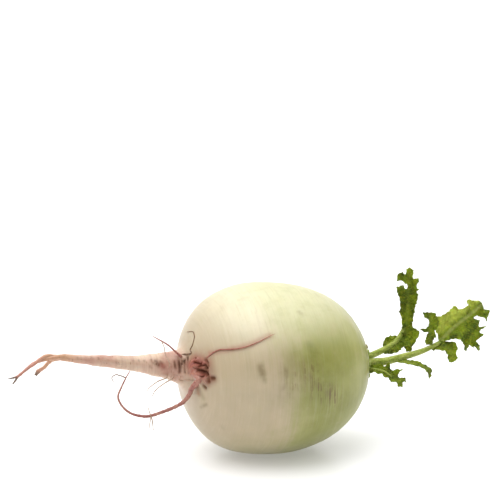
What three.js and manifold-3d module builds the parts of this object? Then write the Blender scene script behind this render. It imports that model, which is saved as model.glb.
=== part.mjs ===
// A round radish as pulled: the swollen root with its tap root, fine side roots and a few young leaves.
// Millimetres, +Z up. The radish lies on its side with its leaves towards +X and its tap root towards -X.
// The origin is on the floor, in the middle of the small flat spot that the radish rests on.

import * as THREE from 'three';
import { mergeVertices } from 'three/addons/utils/BufferGeometryUtils.js';
import Module from 'manifold-3d';

const wasm = await Module();
wasm.setup();

// ---------- driving dimensions ----------

const BULB_RADIUS = 44.8;
const ROOT_HALF = 47.8;          // middle of the bulb to its root end
const CROWN_HALF = 53.0;         // middle of the bulb to its crown
const ROOT_BLUNTNESS = 2.4;      // exponent of the profile, 2 is an ellipse
const CROWN_BLUNTNESS = 2.08;
const BULB_HEIGHT = 44.2;        // middle of the bulb above the floor
const BULB_TILT = THREE.MathUtils.degToRad(4);      // the root end is the higher one
const BULB_SEGMENTS = 56;
const HALF_STEPS = 14;           // profile points from the widest place to each end

const CROWN_KNOB_RADIUS = 6.5;   // the small raised disc that the leaves grow from
const CROWN_KNOB_RISE = 1.6;

const STALK_GAP = 0.3;           // clear space between a separate piece and the bulb
const BLADE_THICKNESS = 0.8;
const BLADE_LENGTH_STEPS = 13;
const BLADE_WIDTH_STEPS = 4;

const STUB_COUNT = 8;
const STUB_RING_RADIUS = 8.6;
const STUB_LENGTHS = [3.2, 3.4, 1.5, 1.0, 1.0, 1.2, 1.6, 2.4];
const STUB_THICKNESS = 1.3;      // radius

// ---------- colours and finishes ----------

const skin = new THREE.MeshStandardMaterial({ color: 0xd9d2a6, roughness: 0.45, metalness: 0 });
const rootSkin = new THREE.MeshStandardMaterial({ color: 0xc58f7c, roughness: 0.6, metalness: 0 });
const hairSkin = new THREE.MeshStandardMaterial({ color: 0xb9a27c, roughness: 0.7, metalness: 0 });
const leafSkin = new THREE.MeshStandardMaterial({ color: 0x5d7a1f, roughness: 0.55, metalness: 0 });
const stubSkin = new THREE.MeshStandardMaterial({ color: 0x93a055, roughness: 0.6, metalness: 0 });

// ---------- helpers ----------

const v3 = ([x, y, z]) => new THREE.Vector3(x, y, z);

/** A value read along a list of evenly spaced values, from 0 at the first to 1 at the last. */
function along(values, t) {
  const place = THREE.MathUtils.clamp(t, 0, 1) * (values.length - 1);
  const index = Math.min(Math.floor(place), values.length - 2);
  return THREE.MathUtils.lerp(values[index], values[index + 1], place - index);
}

/** Joins shared vertices, drops triangles with no area and turns the faces outwards. */
function closed(geometry) {
  geometry.deleteAttribute('normal');
  geometry.deleteAttribute('uv');
  const merged = mergeVertices(geometry, 1e-4);
  const place = merged.attributes.position;
  const index = merged.index.array;
  const corners = [0, 1, 2].map(() => new THREE.Vector3());
  const kept = [];
  let volume = 0;
  for (let i = 0; i < index.length; i += 3) {
    const triangle = [index[i], index[i + 1], index[i + 2]];
    if (new Set(triangle).size < 3) continue;
    triangle.forEach((vertex, corner) => corners[corner].fromBufferAttribute(place, vertex));
    volume += corners[0].dot(corners[1].cross(corners[2]));
    kept.push(triangle);
  }
  merged.setIndex(kept.map((triangle) => (volume < 0 ? triangle.reverse() : triangle)).flat());
  return merged;
}

function toSolid(geometry) {
  const merged = closed(geometry);
  const mesh = new wasm.Mesh({
    numProp: 3,
    vertProperties: new Float32Array(merged.attributes.position.array),
    triVerts: new Uint32Array(merged.index.array),
  });
  return new wasm.Manifold(mesh);
}

function toGeometry(solid) {
  const { vertProperties, triVerts } = solid.getMesh();
  const geometry = new THREE.BufferGeometry();
  geometry.setAttribute('position', new THREE.BufferAttribute(new Float32Array(vertProperties), 3));
  geometry.setIndex(new THREE.BufferAttribute(new Uint32Array(triVerts), 1));
  return geometry;
}

/** A round rod turned on a lathe, then bent along a smooth route through the given points. */
function rod(points, radii, sides = 8, steps = points.length * 3) {
  const route = new THREE.CatmullRomCurve3(points.map(v3), false, 'centripetal');
  const frames = route.computeFrenetFrames(steps, false);
  const profile = [new THREE.Vector2(0, 0)];
  for (let i = 0; i <= steps; i += 1) profile.push(new THREE.Vector2(along(radii, i / steps), i));
  profile.push(new THREE.Vector2(0, steps));
  const geometry = new THREE.LatheGeometry(profile, sides);
  const place = geometry.attributes.position;
  for (let i = 0; i < place.count; i += 1) {
    const step = Math.round(place.getY(i));
    const point = route.getPointAt(step / steps)
      .addScaledVector(frames.normals[step], place.getX(i))
      .addScaledVector(frames.binormals[step], place.getZ(i));
    place.setXYZ(i, point.x, point.y, point.z);
  }
  return geometry;
}

/**
 * One blade or lobe of a leaf: a thin sheet laid along its midrib.
 * face is the way that its upper side looks, widths are half-widths from base to tip,
 * cup lifts the two margins and ruffle waves them.
 */
function blade({ midrib, face, widths, cup = 0.15, ruffle = 0.6, waves = 3, sweep = 0.25 }) {
  const route = new THREE.CatmullRomCurve3(midrib.map(v3), false, 'centripetal');
  const sheet = new THREE.BoxGeometry(1, 2, 1, BLADE_LENGTH_STEPS, BLADE_WIDTH_STEPS, 1);
  sheet.translate(0.5, 0, 0);
  const place = sheet.attributes.position;
  for (let i = 0; i < place.count; i += 1) {
    const s = THREE.MathUtils.clamp(place.getX(i), 0, 1);
    const across = place.getY(i);
    const edge = Math.abs(across);
    const forward = route.getTangentAt(s);
    const side = v3(face).cross(forward).normalize();
    const upward = forward.clone().cross(side).normalize();
    const width = along(widths, s);
    const wave = Math.sin(2 * Math.PI * waves * s + (across > 0 ? 0 : 1.7)) * Math.sin(Math.PI * s);
    const lift = place.getZ(i) * BLADE_THICKNESS * (1 - 0.35 * edge)
      + cup * width * edge * edge
      + ruffle * wave * edge * edge;
    const point = route.getPointAt(s)
      .addScaledVector(side, across * width)
      .addScaledVector(forward, sweep * edge * width)
      .addScaledVector(upward, lift);
    place.setXYZ(i, point.x, point.y, point.z);
  }
  return sheet;
}

/** From the bulb's own frame, with its axis along X, to where the bulb lies. */
function fromBulb(x, y, z) {
  return new THREE.Vector3(x, y, z)
    .applyAxisAngle(new THREE.Vector3(0, 1, 0), BULB_TILT)
    .add(new THREE.Vector3(0, 0, BULB_HEIGHT));
}

/** Half-profile of the bulb: [distance along the axis, radius] at an angle from its root end. */
function profileAt(angle) {
  const rootSide = angle < Math.PI / 2;
  const power = 2 / (rootSide ? ROOT_BLUNTNESS : CROWN_BLUNTNESS);
  const half = rootSide ? ROOT_HALF : CROWN_HALF;
  const reach = Math.abs(Math.cos(angle)) ** power * half;
  return [rootSide ? -reach : reach, Math.abs(Math.sin(angle)) ** power * BULB_RADIUS];
}

/** A point on the bulb's skin: degrees from the root end, degrees from the top towards -Y, and lift. */
function onBulb(fromRoot, round, lift = 0) {
  const angle = THREE.MathUtils.degToRad(fromRoot);
  const turn = THREE.MathUtils.degToRad(round);
  const [x, radius] = profileAt(angle);
  const out = radius + lift * Math.sin(angle);
  const point = fromBulb(x - lift * Math.cos(angle), -out * Math.sin(turn), out * Math.cos(turn));
  return point.toArray();
}

// ---------- the root: bulb, tap root and its two ends, grown as one ----------

function makeBulb() {
  const profile = [];
  for (let i = 0; i <= 2 * HALF_STEPS; i += 1) {
    const [x, radius] = profileAt(i / (2 * HALF_STEPS) * Math.PI);
    if (x > 0 && radius < CROWN_KNOB_RADIUS + 1.5) break;
    profile.push(new THREE.Vector2(i === 0 ? 0 : radius, x));
  }
  const knobBase = CROWN_HALF - 1.1;
  profile.push(new THREE.Vector2(CROWN_KNOB_RADIUS, knobBase));
  profile.push(new THREE.Vector2(CROWN_KNOB_RADIUS * 0.75, knobBase + CROWN_KNOB_RISE * 0.8));
  profile.push(new THREE.Vector2(0, knobBase + CROWN_KNOB_RISE));
  const geometry = new THREE.LatheGeometry(profile, BULB_SEGMENTS);
  geometry.rotateZ(-Math.PI / 2);
  geometry.rotateY(BULB_TILT);
  geometry.translate(0, 0, BULB_HEIGHT);
  return toSolid(geometry);
}

const TAP_ROOT_ROUTE = [
  [-38, 0, 47.4], [-46, 0, 48.9], [-50, 0, 49.6], [-59.7, 0, 51.2], [-75.5, -0.3, 53.8],
  [-91.2, -0.2, 56.5], [-106.7, 0, 59.3], [-116, 0, 60.7],
];
const TAP_ROOT_RADII = [
  15, 13.5, 9.6, 8.0, 6.9, 6.2, 5.5, 4.8, 4.2, 3.75, 3.4, 3.1, 2.8, 2.5, 2.3, 2.1, 1.9, 1.6,
];
const LONG_END_ROUTE = [
  [-112, 0, 60.2], [-118.2, -1, 61.2], [-122.5, -2, 60.8], [-127.9, -3, 58], [-133.3, -4, 54.6],
  [-137.4, -4.2, 51.8],
];
const LONG_END_TIP = [[-134, -4, 54], [-137, -4.4, 53], [-139.9, -4.6, 52.9]];
const SHORT_END_ROUTE = [
  [-113, 0.3, 59.8], [-115.7, 1, 59.2], [-117.6, 2, 57.2], [-119.5, 3, 54.6], [-122.4, 4, 52.8],
  [-123.9, 4, 50.6],
];

function makeRoot() {
  const knot = new THREE.SphereGeometry(1, 20, 12);
  knot.scale(2.6, 7.4, 7.6);
  knot.translate(...onBulb(24, 74, -0.4));
  const grown = makeBulb()
    .add(toSolid(rod(TAP_ROOT_ROUTE, TAP_ROOT_RADII, 16, 34)))
    .add(toSolid(rod(LONG_END_ROUTE, [1.3, 1.2, 1.0, 0.8, 0.45], 8, 14)))
    .add(toSolid(rod(LONG_END_TIP, [0.6, 0.5, 0.35], 6, 5)))
    .add(toSolid(rod(SHORT_END_ROUTE, [1.1, 1.1, 1.0, 0.9, 1.0], 8, 12)))
    .add(toSolid(knot));
  const floor = new THREE.BoxGeometry(400, 400, 40).translate(0, 0, -20);
  return toGeometry(grown.subtract(toSolid(floor)));
}

// ---------- side roots and root hairs ----------

const SIDE_ROOTS = {
  side_root_long: {
    route: [
      onBulb(25, 92, 2.9), onBulb(20.5, 101, 2.6), [-48.9, -15, 38.6], [-51.6, -14, 34.9], [-55.7, -13, 32.4],
      [-60.4, -11, 30.1], [-67.6, -8, 27.3], [-72.1, -5, 26.9], [-76.5, -2, 28.1], [-79.8, 1, 31.2],
      [-81, 4, 35.3], [-78.5, 7, 39], [-75.3, 9, 43.5], [-72.8, 10, 46.7],
    ],
    radii: [1.4, 1.15, 1.0, 0.9, 0.8, 0.7, 0.6, 0.5, 0.45, 0.4, 0.3],
    skin: rootSkin,
  },
  side_root_on_bulb: {
    route: [
      onBulb(33, 58, 1.1), onBulb(36, 57, 0.8), onBulb(42, 57.5, 0.8), onBulb(49, 59, 0.8),
      onBulb(56, 60, 0.8), onBulb(63, 58, 0.8), onBulb(70, 56, 0.9), onBulb(76, 53.2, 1.1),
      onBulb(79, 52.8, 1.9),
    ],
    radii: [0.4, 0.35, 0.3, 0.3, 0.22],
    skin: rootSkin,
  },
  side_root_upper: {
    route: [[-53.1, -5, 59.6], [-56, -4, 62.2], [-58, -2.4, 63.6], [-61.1, 0, 65.4], [-63.2, 2, 66.6]],
    radii: [0.55, 0.5, 0.4, 0.3],
    skin: rootSkin,
  },
  root_hair_squiggle: {
    route: [
      onBulb(14, 38, 2.6), onBulb(16, 29, 1.2), onBulb(19.4, 25, 0.8), onBulb(22.8, 19.6, 0.8),
      onBulb(24, 8, 0.8), onBulb(23, -3, 0.9),
    ],
    radii: [0.4, 0.35, 0.3, 0.25],
    skin: hairSkin,
  },
  root_hair_crossing: {
    route: [[-58.8, -4, 64.1], [-59, -6.6, 61.2], [-58.6, -8.2, 57.6], [-57.2, -9, 53.2]],
    radii: [0.3, 0.3, 0.25],
    skin: hairSkin,
  },
  root_hair_under_a: {
    route: [[-58.6, -7.6, 46.2], [-63.4, -8.2, 45.2], [-67.4, -8, 42.6], [-69.1, -8, 40.7]],
    radii: [0.3, 0.3, 0.25],
    skin: hairSkin,
  },
  root_hair_under_b: {
    route: [[-56.2, -9.6, 46], [-61.4, -10.2, 44], [-65.4, -10.4, 41.2], [-67, -10.4, 38.4]],
    radii: [0.3, 0.3, 0.25],
    skin: hairSkin,
  },
  root_hair_low: {
    route: [[-68.9, -9.4, 31.6], [-67.9, -10.2, 29.4], [-66.9, -10, 25.4], [-66.4, -10, 20]],
    radii: [0.3, 0.3, 0.25],
    skin: hairSkin,
  },
  root_hair_far: {
    route: [
      [-76.4, 9.9, 44.2], [-78.2, 10.2, 44.6], [-80.3, 10.4, 45.3], [-82.4, 10.4, 43.9],
      [-81.4, 10.4, 41.1],
    ],
    radii: [0.3, 0.3, 0.25],
    skin: hairSkin,
  },
};

// ---------- leaves ----------

const TOWARDS_FRONT = [-0.3, -0.92, 0.25];

const LEAVES = {
  leaf_big: {
    stalk: [
      [54.5, -0.6, 41.2], [58.8, -2, 42.3], [63.7, -4, 42.9], [69, -5.4, 44.1], [73.9, -7, 45.5],
      [79.2, -8, 46.8], [84.5, -9, 48.5], [89.9, -10, 51], [95.2, -10.9, 54.2], [101, -11.5, 57],
      [107, -11.8, 59],
    ],
    radii: [2.5, 2.4, 2.3, 2.1, 1.9, 1.6, 1.3, 1.0, 0.7, 0.5],
    blades: [
      {
        midrib: [
          [91, -10.8, 52.2], [97.8, -11.5, 56.1], [103.3, -12, 58.5], [109.2, -12, 60.1],
          [118.6, -11, 62.4],
        ],
        face: TOWARDS_FRONT,
        widths: [2.5, 6.5, 8.5, 10.5, 11.5, 11.5, 11, 9, 5],
        cup: -0.12, ruffle: 1.8, waves: 4, sweep: 0.12,
      },
      {
        midrib: [[86, -9.3, 49.6], [86.9, -9.5, 54], [87.4, -9.6, 60], [87.9, -10, 66], [87.3, -10.4, 70]],
        face: TOWARDS_FRONT, widths: [1, 2.2, 2.2, 2.4, 2.8, 3.4, 2.2], ruffle: 0.4,
      },
      {
        midrib: [
          [86.5, -9.2, 48.9], [92, -11.6, 50.1], [95.5, -13.2, 49.4], [97.6, -14.6, 46.6],
          [96.8, -15.4, 42.6],
        ],
        face: [-0.2, -0.8, 0.5], widths: [1.4, 2.6, 3.2, 3.4, 2.6, 1], ruffle: 0.5,
      },
      {
        midrib: [
          [68.9, -6.6, 43.6], [75.2, -11.6, 42.9], [81.1, -13, 40.9], [85, -13.5, 38.5], [85.5, -14, 34.2],
        ],
        face: [0.1, -0.6, 0.8], widths: [1.2, 1.5, 1.5, 1.4, 1.1, 0.6], ruffle: 0.25,
      },
    ],
  },
  leaf_upright: {
    stalk: [
      [54.5, 3.8, 42.8], [59.6, 4.8, 44.2], [64.6, 5.4, 45.6], [70.9, 6, 47.8], [75.5, 6, 51.2],
      [78.5, 6, 55.2], [80.2, 6.3, 60], [80.9, 6.3, 66], [81, 6.2, 74],
    ],
    radii: [2.0, 2.0, 1.9, 1.8, 1.5, 1.1, 0.8, 0.45],
    blades: [
      {
        midrib: [
          [76.6, 5.8, 50.6], [79.5, 6, 53.8], [80.3, 6, 60], [80.9, 6, 67], [81, 6, 75], [81, 5.4, 83],
          [81.3, 4.6, 89.6],
        ],
        face: TOWARDS_FRONT,
        widths: [2.4, 5, 5, 3.2, 3.4, 4.2, 5.4, 5.6, 4.2, 5.2, 5.4, 2.4],
        cup: 0.3, ruffle: 1.0, waves: 4, sweep: 0.1,
      },
      {
        midrib: [[74.8, 6.4, 50.6], [71, 6.8, 50.8], [67.8, 7, 49.4]],
        face: TOWARDS_FRONT, widths: [1, 2.2, 2.6, 1.6], ruffle: 0.3,
      },
      {
        midrib: [[76.6, 5.8, 51.4], [80, 4.9, 49.2], [80, 4.2, 45.4]],
        face: [-0.2, -0.8, 0.5], widths: [1, 2, 2.2, 1], ruffle: 0.3,
      },
    ],
  },
  leaf_low: {
    stalk: [[54.3, -4.2, 38.6], [57.2, -9, 39.6], [60.6, -12.6, 38.9], [64, -15.6, 36.4], [67, -17.8, 33.2]],
    radii: [1.3, 1.3, 1.1, 0.8, 0.5],
    blades: [
      {
        midrib: [
          [55.2, -5.8, 39.3], [58, -9.8, 39.8], [60.9, -12.6, 38.8], [64.9, -16.2, 35.9],
          [68.2, -18.8, 32.4],
        ],
        face: [-0.1, -0.75, 0.66],
        widths: [0.8, 2.2, 2.8, 3.4, 3.6, 3.2, 1.6], cup: 0.35, ruffle: 0.7,
      },
    ],
  },
  leaf_heart_a: {
    stalk: [[54.4, 1.2, 37.2], [56.6, 2, 37], [58.6, 3.4, 37.6]],
    radii: [0.9, 0.8, 0.5],
    blades: [
      {
        midrib: [[55.4, 1.6, 37], [57, 2.2, 37], [58.8, 3.6, 37.8], [60, 5.2, 39.2]],
        face: [-0.4, 0.6, 0.7], widths: [0.6, 1.5, 1.9, 1.7, 0.7], ruffle: 0.2,
      },
    ],
  },
  leaf_heart_b: {
    stalk: [[54.2, 3.4, 35], [56, 4.8, 34.6], [57.2, 6.4, 35]],
    radii: [0.8, 0.7, 0.45],
    blades: [
      {
        midrib: [[55, 4.1, 34.9], [56.2, 5.2, 34.6], [57.4, 6.8, 35], [58, 8.6, 36]],
        face: [-0.5, 0.4, 0.75], widths: [0.5, 1.3, 1.7, 1.4, 0.6], ruffle: 0.2,
      },
    ],
  },
};

function makeLeaf({ stalk, radii, blades }) {
  const stem = toSolid(rod(stalk, radii, 8, stalk.length * 2));
  return toGeometry(blades.reduce((leaf, lobe) => leaf.add(toSolid(blade(lobe))), stem));
}

// ---------- cut stubs of old stalks round the crown ----------

function makeStub(number) {
  const turn = (number + 0.5) / STUB_COUNT * 2 * Math.PI;
  const base = CROWN_HALF - 0.7 + STALK_GAP;
  const splay = 1 + STUB_LENGTHS[number] * 0.05;
  const ring = (distance, spread) => fromBulb(
    base + distance,
    STUB_RING_RADIUS * spread * Math.cos(turn),
    STUB_RING_RADIUS * spread * Math.sin(turn),
  ).toArray();
  const route = [
    ring(0, 1),
    ring(STUB_LENGTHS[number] / 2, (1 + splay) / 2),
    ring(STUB_LENGTHS[number], splay),
  ];
  return rod(route, [STUB_THICKNESS, STUB_THICKNESS, STUB_THICKNESS * 0.85], 8, 4);
}

// ---------- the whole radish ----------

const radish = new THREE.Group();

function addPiece(name, geometry, material) {
  const mesh = new THREE.Mesh(closed(geometry), material);
  mesh.name = name;
  radish.add(mesh);
}

addPiece('root', makeRoot(), skin);
for (const [name, piece] of Object.entries(SIDE_ROOTS)) {
  addPiece(name, rod(piece.route, piece.radii, 6, piece.route.length * 2), piece.skin);
}
for (const [name, leaf] of Object.entries(LEAVES)) {
  addPiece(name, makeLeaf(leaf), leafSkin);
}
for (let number = 0; number < STUB_COUNT; number += 1) {
  addPiece(`stalk_stub_${number + 1}`, makeStub(number), stubSkin);
}

export default radish;
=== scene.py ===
"""The finished look of a round radish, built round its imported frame: bulb, roots, leaves and crown."""

import math

import bpy
import numpy as np
from mathutils import Matrix, Vector, noise


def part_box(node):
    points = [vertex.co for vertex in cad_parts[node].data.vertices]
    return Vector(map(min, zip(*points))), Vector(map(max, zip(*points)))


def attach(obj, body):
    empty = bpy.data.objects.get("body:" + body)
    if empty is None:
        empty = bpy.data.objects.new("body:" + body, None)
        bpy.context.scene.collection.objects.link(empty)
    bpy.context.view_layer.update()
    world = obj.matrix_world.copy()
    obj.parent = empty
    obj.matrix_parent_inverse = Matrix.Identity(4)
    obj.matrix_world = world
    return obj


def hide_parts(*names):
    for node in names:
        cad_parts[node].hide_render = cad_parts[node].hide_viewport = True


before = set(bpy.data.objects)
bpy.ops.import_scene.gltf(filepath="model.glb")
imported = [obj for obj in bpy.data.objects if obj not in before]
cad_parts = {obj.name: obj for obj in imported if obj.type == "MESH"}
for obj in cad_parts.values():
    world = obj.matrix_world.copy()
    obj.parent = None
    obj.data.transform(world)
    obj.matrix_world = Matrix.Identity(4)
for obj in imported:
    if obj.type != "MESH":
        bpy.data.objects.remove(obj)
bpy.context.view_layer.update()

MM = 0.001
MERGE_REACH = 0.005 * MM    # points closer than this are one point

# ---------- driving dimensions, in millimetres ----------

root_low, root_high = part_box("root")
BULB_RADIUS = (root_high.y - root_low.y) / 2 / MM
ROOT_HALF = 47.8            # middle of the bulb to its root end
CROWN_HALF = 53.0           # middle of the bulb to its crown
ROOT_BLUNTNESS = 2.4        # exponent of the profile, 2 is an ellipse
CROWN_BLUNTNESS = 2.08
BULB_HEIGHT = 44.2
BULB_TILT = math.radians(4)
BULB_MIDDLE = 0.044         # in metres, for the skin's material: the height that the green leans from

BULB_RINGS = 150
ROUND_STEPS = 192
TAP_RING_STEP = 0.9
TUBE_ROUNDNESS = 4          # cuts in each quarter of a side root
FILLET_RINGS = 9
WANDER = 0.5                # how far the tap root strays sideways
WANDER_RUN = 7.0

TAP_BASE = (-52.4, 8.1)     # axial place and radius where the tap root starts to flare into the bulb
FLARE_CORNER = (-48.1, 9.2)
FLARE_RADIUS = 15.5         # radius on the bulb where the flare ends
TAP_TIP = -116.5
TAP_ROUTE = [
    (-50, 0, 49.6), (-59.7, 0, 51.2), (-75.5, -0.3, 53.8), (-91.2, -0.2, 56.5), (-106.7, 0, 59.3),
    (-117, 0, 60.8),
]
TAP_RADII = [8.1, 7.0, 6.15, 5.4, 4.7, 4.1, 3.75, 3.45, 3.2, 2.95, 2.7, 2.45, 2.2, 1.95, 1.7, 1.3]

CROWN_FLOOR = CROWN_HALF - 1.1
CROWN_HOLLOW_RADIUS = 8.1   # the bulb's skin stops here and turns in to the knob
KNOB = [                    # rise from the crown floor and radius, from the knob's foot to its top
    (-0.3, 7.2), (-0.2, 6.5), (0.5, 6.045), (1.12, 4.875), (1.28, 3.25), (1.52, 1.95), (1.6, 0.0),
]


# ---------- selection and edit-mode helpers ----------

def focus(piece):
    """Selects one object only and makes it the active one."""
    bpy.ops.object.select_all(action="DESELECT")
    piece.select_set(True)
    bpy.context.view_layer.objects.active = piece


def edit(piece, *operators):
    """Runs edit-mode operators on everything in a piece."""
    focus(piece)
    bpy.ops.object.mode_set(mode="EDIT")
    for operator, settings in operators:
        bpy.ops.mesh.select_all(action="SELECT")
        operator(**settings)
    bpy.ops.object.mode_set(mode="OBJECT")


def edit_near(piece, place, reach, operator, **settings):
    """Runs one edit-mode operator on the faces whose middles lie within reach of a place."""
    focus(piece)
    bpy.ops.object.mode_set(mode="EDIT")
    bpy.ops.mesh.select_all(action="DESELECT")
    bpy.ops.object.mode_set(mode="OBJECT")
    for face in piece.data.polygons:
        face.select = (face.center - place).length < reach
    bpy.ops.object.mode_set(mode="EDIT")
    operator(**settings)
    bpy.ops.object.mode_set(mode="OBJECT")


def join(pieces, name):
    """Joins pieces into the first one and names the result."""
    focus(pieces[0])
    for piece in pieces:
        piece.select_set(True)
    bpy.ops.object.join()
    pieces[0].name = name
    pieces[0].data.name = name
    return pieces[0]


def modify(piece, kind, **settings):
    """Adds a modifier with these settings and applies it."""
    focus(piece)
    modifier = piece.modifiers.new(kind.lower(), kind)
    for key, value in settings.items():
        setattr(modifier, key, value)
    bpy.ops.object.modifier_apply(modifier=modifier.name)


def smooth(piece):
    """Shades a piece smooth."""
    focus(piece)
    bpy.ops.object.shade_smooth()


def mesh_from_curve(name, curve):
    """A mesh made from a curve, as an object of its own."""
    piece = bpy.data.objects.new(name, curve)
    bpy.context.scene.collection.objects.link(piece)
    focus(piece)
    bpy.ops.object.convert(target="MESH")
    return bpy.context.object


def close_up(piece):
    """Merges doubled points and turns every face outwards."""
    edit(
        piece,
        (bpy.ops.mesh.remove_doubles, {"threshold": MERGE_REACH}),
        (bpy.ops.mesh.normals_make_consistent, {"inside": False}),
    )


def vertex_places(piece):
    """The vertices of a piece as an array of rows, in metres."""
    places = np.empty(len(piece.data.vertices) * 3)
    piece.data.vertices.foreach_get("co", places)
    return places.reshape(-1, 3)


def move_vertices(piece, places):
    """Puts every vertex of a piece in its new place."""
    piece.data.vertices.foreach_set("co", places.ravel())
    piece.data.update()


def push_out(piece, rise):
    """Moves every vertex of a piece along its normal by its own rise, in millimetres."""
    normals = np.empty(len(piece.data.vertices) * 3)
    piece.data.vertex_normals.foreach_get("vector", normals)
    move_vertices(piece, (vertex_places(piece) / MM + normals.reshape(-1, 3) * rise[:, None]) * MM)


def keep_at_vertices(piece, name, values):
    """Keeps a value at every vertex of a piece, for its material to read."""
    layer = piece.data.attributes.new(name, "FLOAT", "POINT")
    layer.data.foreach_set("value", np.broadcast_to(values, len(piece.data.vertices)).astype(np.float32))


# ---------- shape helpers ----------

def along(values, t):
    """A value read along a list of evenly spaced values, from 0 at the first to 1 at the last."""
    place = min(max(t, 0.0), 1.0) * (len(values) - 1)
    index = min(int(place), len(values) - 2)
    return values[index] + (values[index + 1] - values[index]) * (place - index)


def smoothstep(low, high, values):
    """0 below low, 1 above high and a smooth rise between them."""
    t = np.clip((np.asarray(values, float) - low) / (high - low), 0, 1)
    return t * t * (3 - 2 * t)


def curve_through(points, closed=False, steps=12):
    """Places on a smooth curve through the points, with steps of them for each stretch."""
    points = [np.asarray(point, float) for point in points]
    count = len(points)
    line = []
    for i in range(count if closed else count - 1):
        if closed:
            a, b, c, d = (points[(i + k) % count] for k in (-1, 0, 1, 2))
        else:
            b, c = points[i], points[i + 1]
            a = points[i - 1] if i > 0 else 2 * b - c
            d = points[i + 2] if i + 2 < count else 2 * c - b
        bend, swing = 2 * a - 5 * b + 4 * c - d, 3 * b - a - 3 * c + d
        for step in range(steps):
            t = step / steps
            line.append(0.5 * (2 * b + (c - a) * t + bend * t ** 2 + swing * t ** 3))
    if not closed:
        line.append(points[-1])
    return np.array(line)


def evenly(line, spacing):
    """Places at an even spacing along a line of points."""
    lengths = np.concatenate([[0], np.cumsum(np.linalg.norm(np.diff(line, axis=0), axis=1))])
    count = max(2, int(round(lengths[-1] / spacing)) + 1)
    wanted = np.linspace(0, lengths[-1], count)
    return np.column_stack([np.interp(wanted, lengths, line[:, k]) for k in range(line.shape[1])])


class Route:
    """A smooth line through points, read by the distance along it."""

    HEADING_REACH = 0.6

    def __init__(self, points):
        self.line = curve_through(points)
        steps = np.linalg.norm(np.diff(self.line, axis=0), axis=1)
        self.lengths = np.concatenate([[0], np.cumsum(steps)])
        self.length = self.lengths[-1]
        self.first = self._unit(self.line[1] - self.line[0])
        self.last = self._unit(self.line[-1] - self.line[-2])

    @staticmethod
    def _unit(vector):
        """The direction of a vector."""
        return vector / np.linalg.norm(vector)

    def at(self, distance):
        """The place at a distance along the line, which runs on straight past its ends."""
        if distance < 0:
            return self.line[0] + self.first * distance
        if distance > self.length:
            return self.line[-1] + self.last * (distance - self.length)
        return np.array([np.interp(distance, self.lengths, self.line[:, k]) for k in range(3)])

    def heading(self, distance):
        """The direction of the line at a distance along it."""
        return self._unit(self.at(distance + self.HEADING_REACH) - self.at(distance - self.HEADING_REACH))


def profile_at(angle):
    """Half-profile of the bulb: (place along the axis, radius) at an angle from its root end."""
    root_side = angle < math.pi / 2
    power = 2 / (ROOT_BLUNTNESS if root_side else CROWN_BLUNTNESS)
    half = ROOT_HALF if root_side else CROWN_HALF
    reach = abs(math.cos(angle)) ** power * half
    return (-reach if root_side else reach), abs(math.sin(angle)) ** power * BULB_RADIUS


def from_bulb(x, y, z):
    """From the bulb's own frame, with its axis along X, to where the bulb lies."""
    turned = Matrix.Rotation(BULB_TILT, 3, "Y") @ Vector((x, y, z))
    return turned + Vector((0, 0, BULB_HEIGHT))


def on_bulb(from_root, turn, lift=0.0):
    """A place on the bulb's skin, or lifted off it: degrees from its root end, then from the top to -Y."""
    angle, turn = math.radians(from_root), math.radians(turn)
    x, radius = profile_at(angle)
    out = radius + lift * math.sin(angle)
    return tuple(from_bulb(x - lift * math.cos(angle), -out * math.sin(turn), out * math.cos(turn)))


TAP_LINE = curve_through(TAP_ROUTE)[::-1]


def tap_middle(x):
    """The Y and Z of the tap root's own line, at one X or at many."""
    return np.interp(x, TAP_LINE[:, 0], TAP_LINE[:, 1]), np.interp(x, TAP_LINE[:, 0], TAP_LINE[:, 2])


def on_tap(x, turn):
    """A place on the tap root's skin: its X, then degrees from the top to -Y."""
    radius = along(TAP_RADII, (TAP_BASE[0] - x) / (TAP_BASE[0] - TAP_TIP))
    turn = math.radians(turn)
    y, z = tap_middle(x)
    return x, float(y) - radius * math.sin(turn), float(z) + radius * math.cos(turn)


# ---------- strokes: marks that are carved, coloured or both ----------
# A stroke is a line of places, its width and its strength, which is a depth where it is carved.

def bulb_mark(angles, width, strength):
    """A stroke on the bulb's skin."""
    return [on_bulb(*pair) for pair in angles], width, strength


def tap_mark(angles, width, strength):
    """A stroke on the tap root's skin."""
    return [on_tap(*pair) for pair in angles], width, strength


def stroke_weight(places, line, width):
    """How strongly each place is under a stroke of a given width along a line, from 0 to 1."""
    nearest = np.full(len(places), 1e9)
    for start, end in zip(line[:-1], line[1:]):
        span = end - start
        share = np.clip(((places - start) @ span) / max(span @ span, 1e-12), 0, 1)
        nearest = np.minimum(nearest, np.linalg.norm(places - start - share[:, None] * span, axis=1))
    return np.exp(-(nearest / width) ** 2)


def carve(piece, strokes):
    """Presses strokes into a piece, or raises them where the depth is negative. Sizes in millimetres."""
    places = vertex_places(piece) / MM
    depth = np.zeros(len(places))
    for line, width, deep in strokes:
        depth += stroke_weight(places, np.array(line, float), width) * deep
    push_out(piece, -depth)


def paint(piece, name, strokes):
    """Keeps the strength of strokes at every vertex, for the piece's material to read."""
    places = vertex_places(piece) / MM
    strength = np.zeros(len(places))
    for line, width, strong in strokes:
        strength = np.maximum(strength, stroke_weight(places, np.array(line, float), width) * strong)
    keep_at_vertices(piece, name, strength)


def lumps_at(*place):
    """Smooth noise at one place, from about -1 to 1."""
    return noise.noise(Vector(place))


def noise_at(places, scale, stretch=(1, 1, 1), seed=0.0):
    """Smooth noise at places in millimetres, from about -1 to 1, with lumps about scale across."""
    shift = Vector((seed * 17.3, seed * 9.1, seed * 5.7))
    factors = np.array(stretch, float) / scale
    return np.array([noise.noise(Vector(row) + shift) for row in places * factors])


# ---------- material helpers ----------

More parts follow.
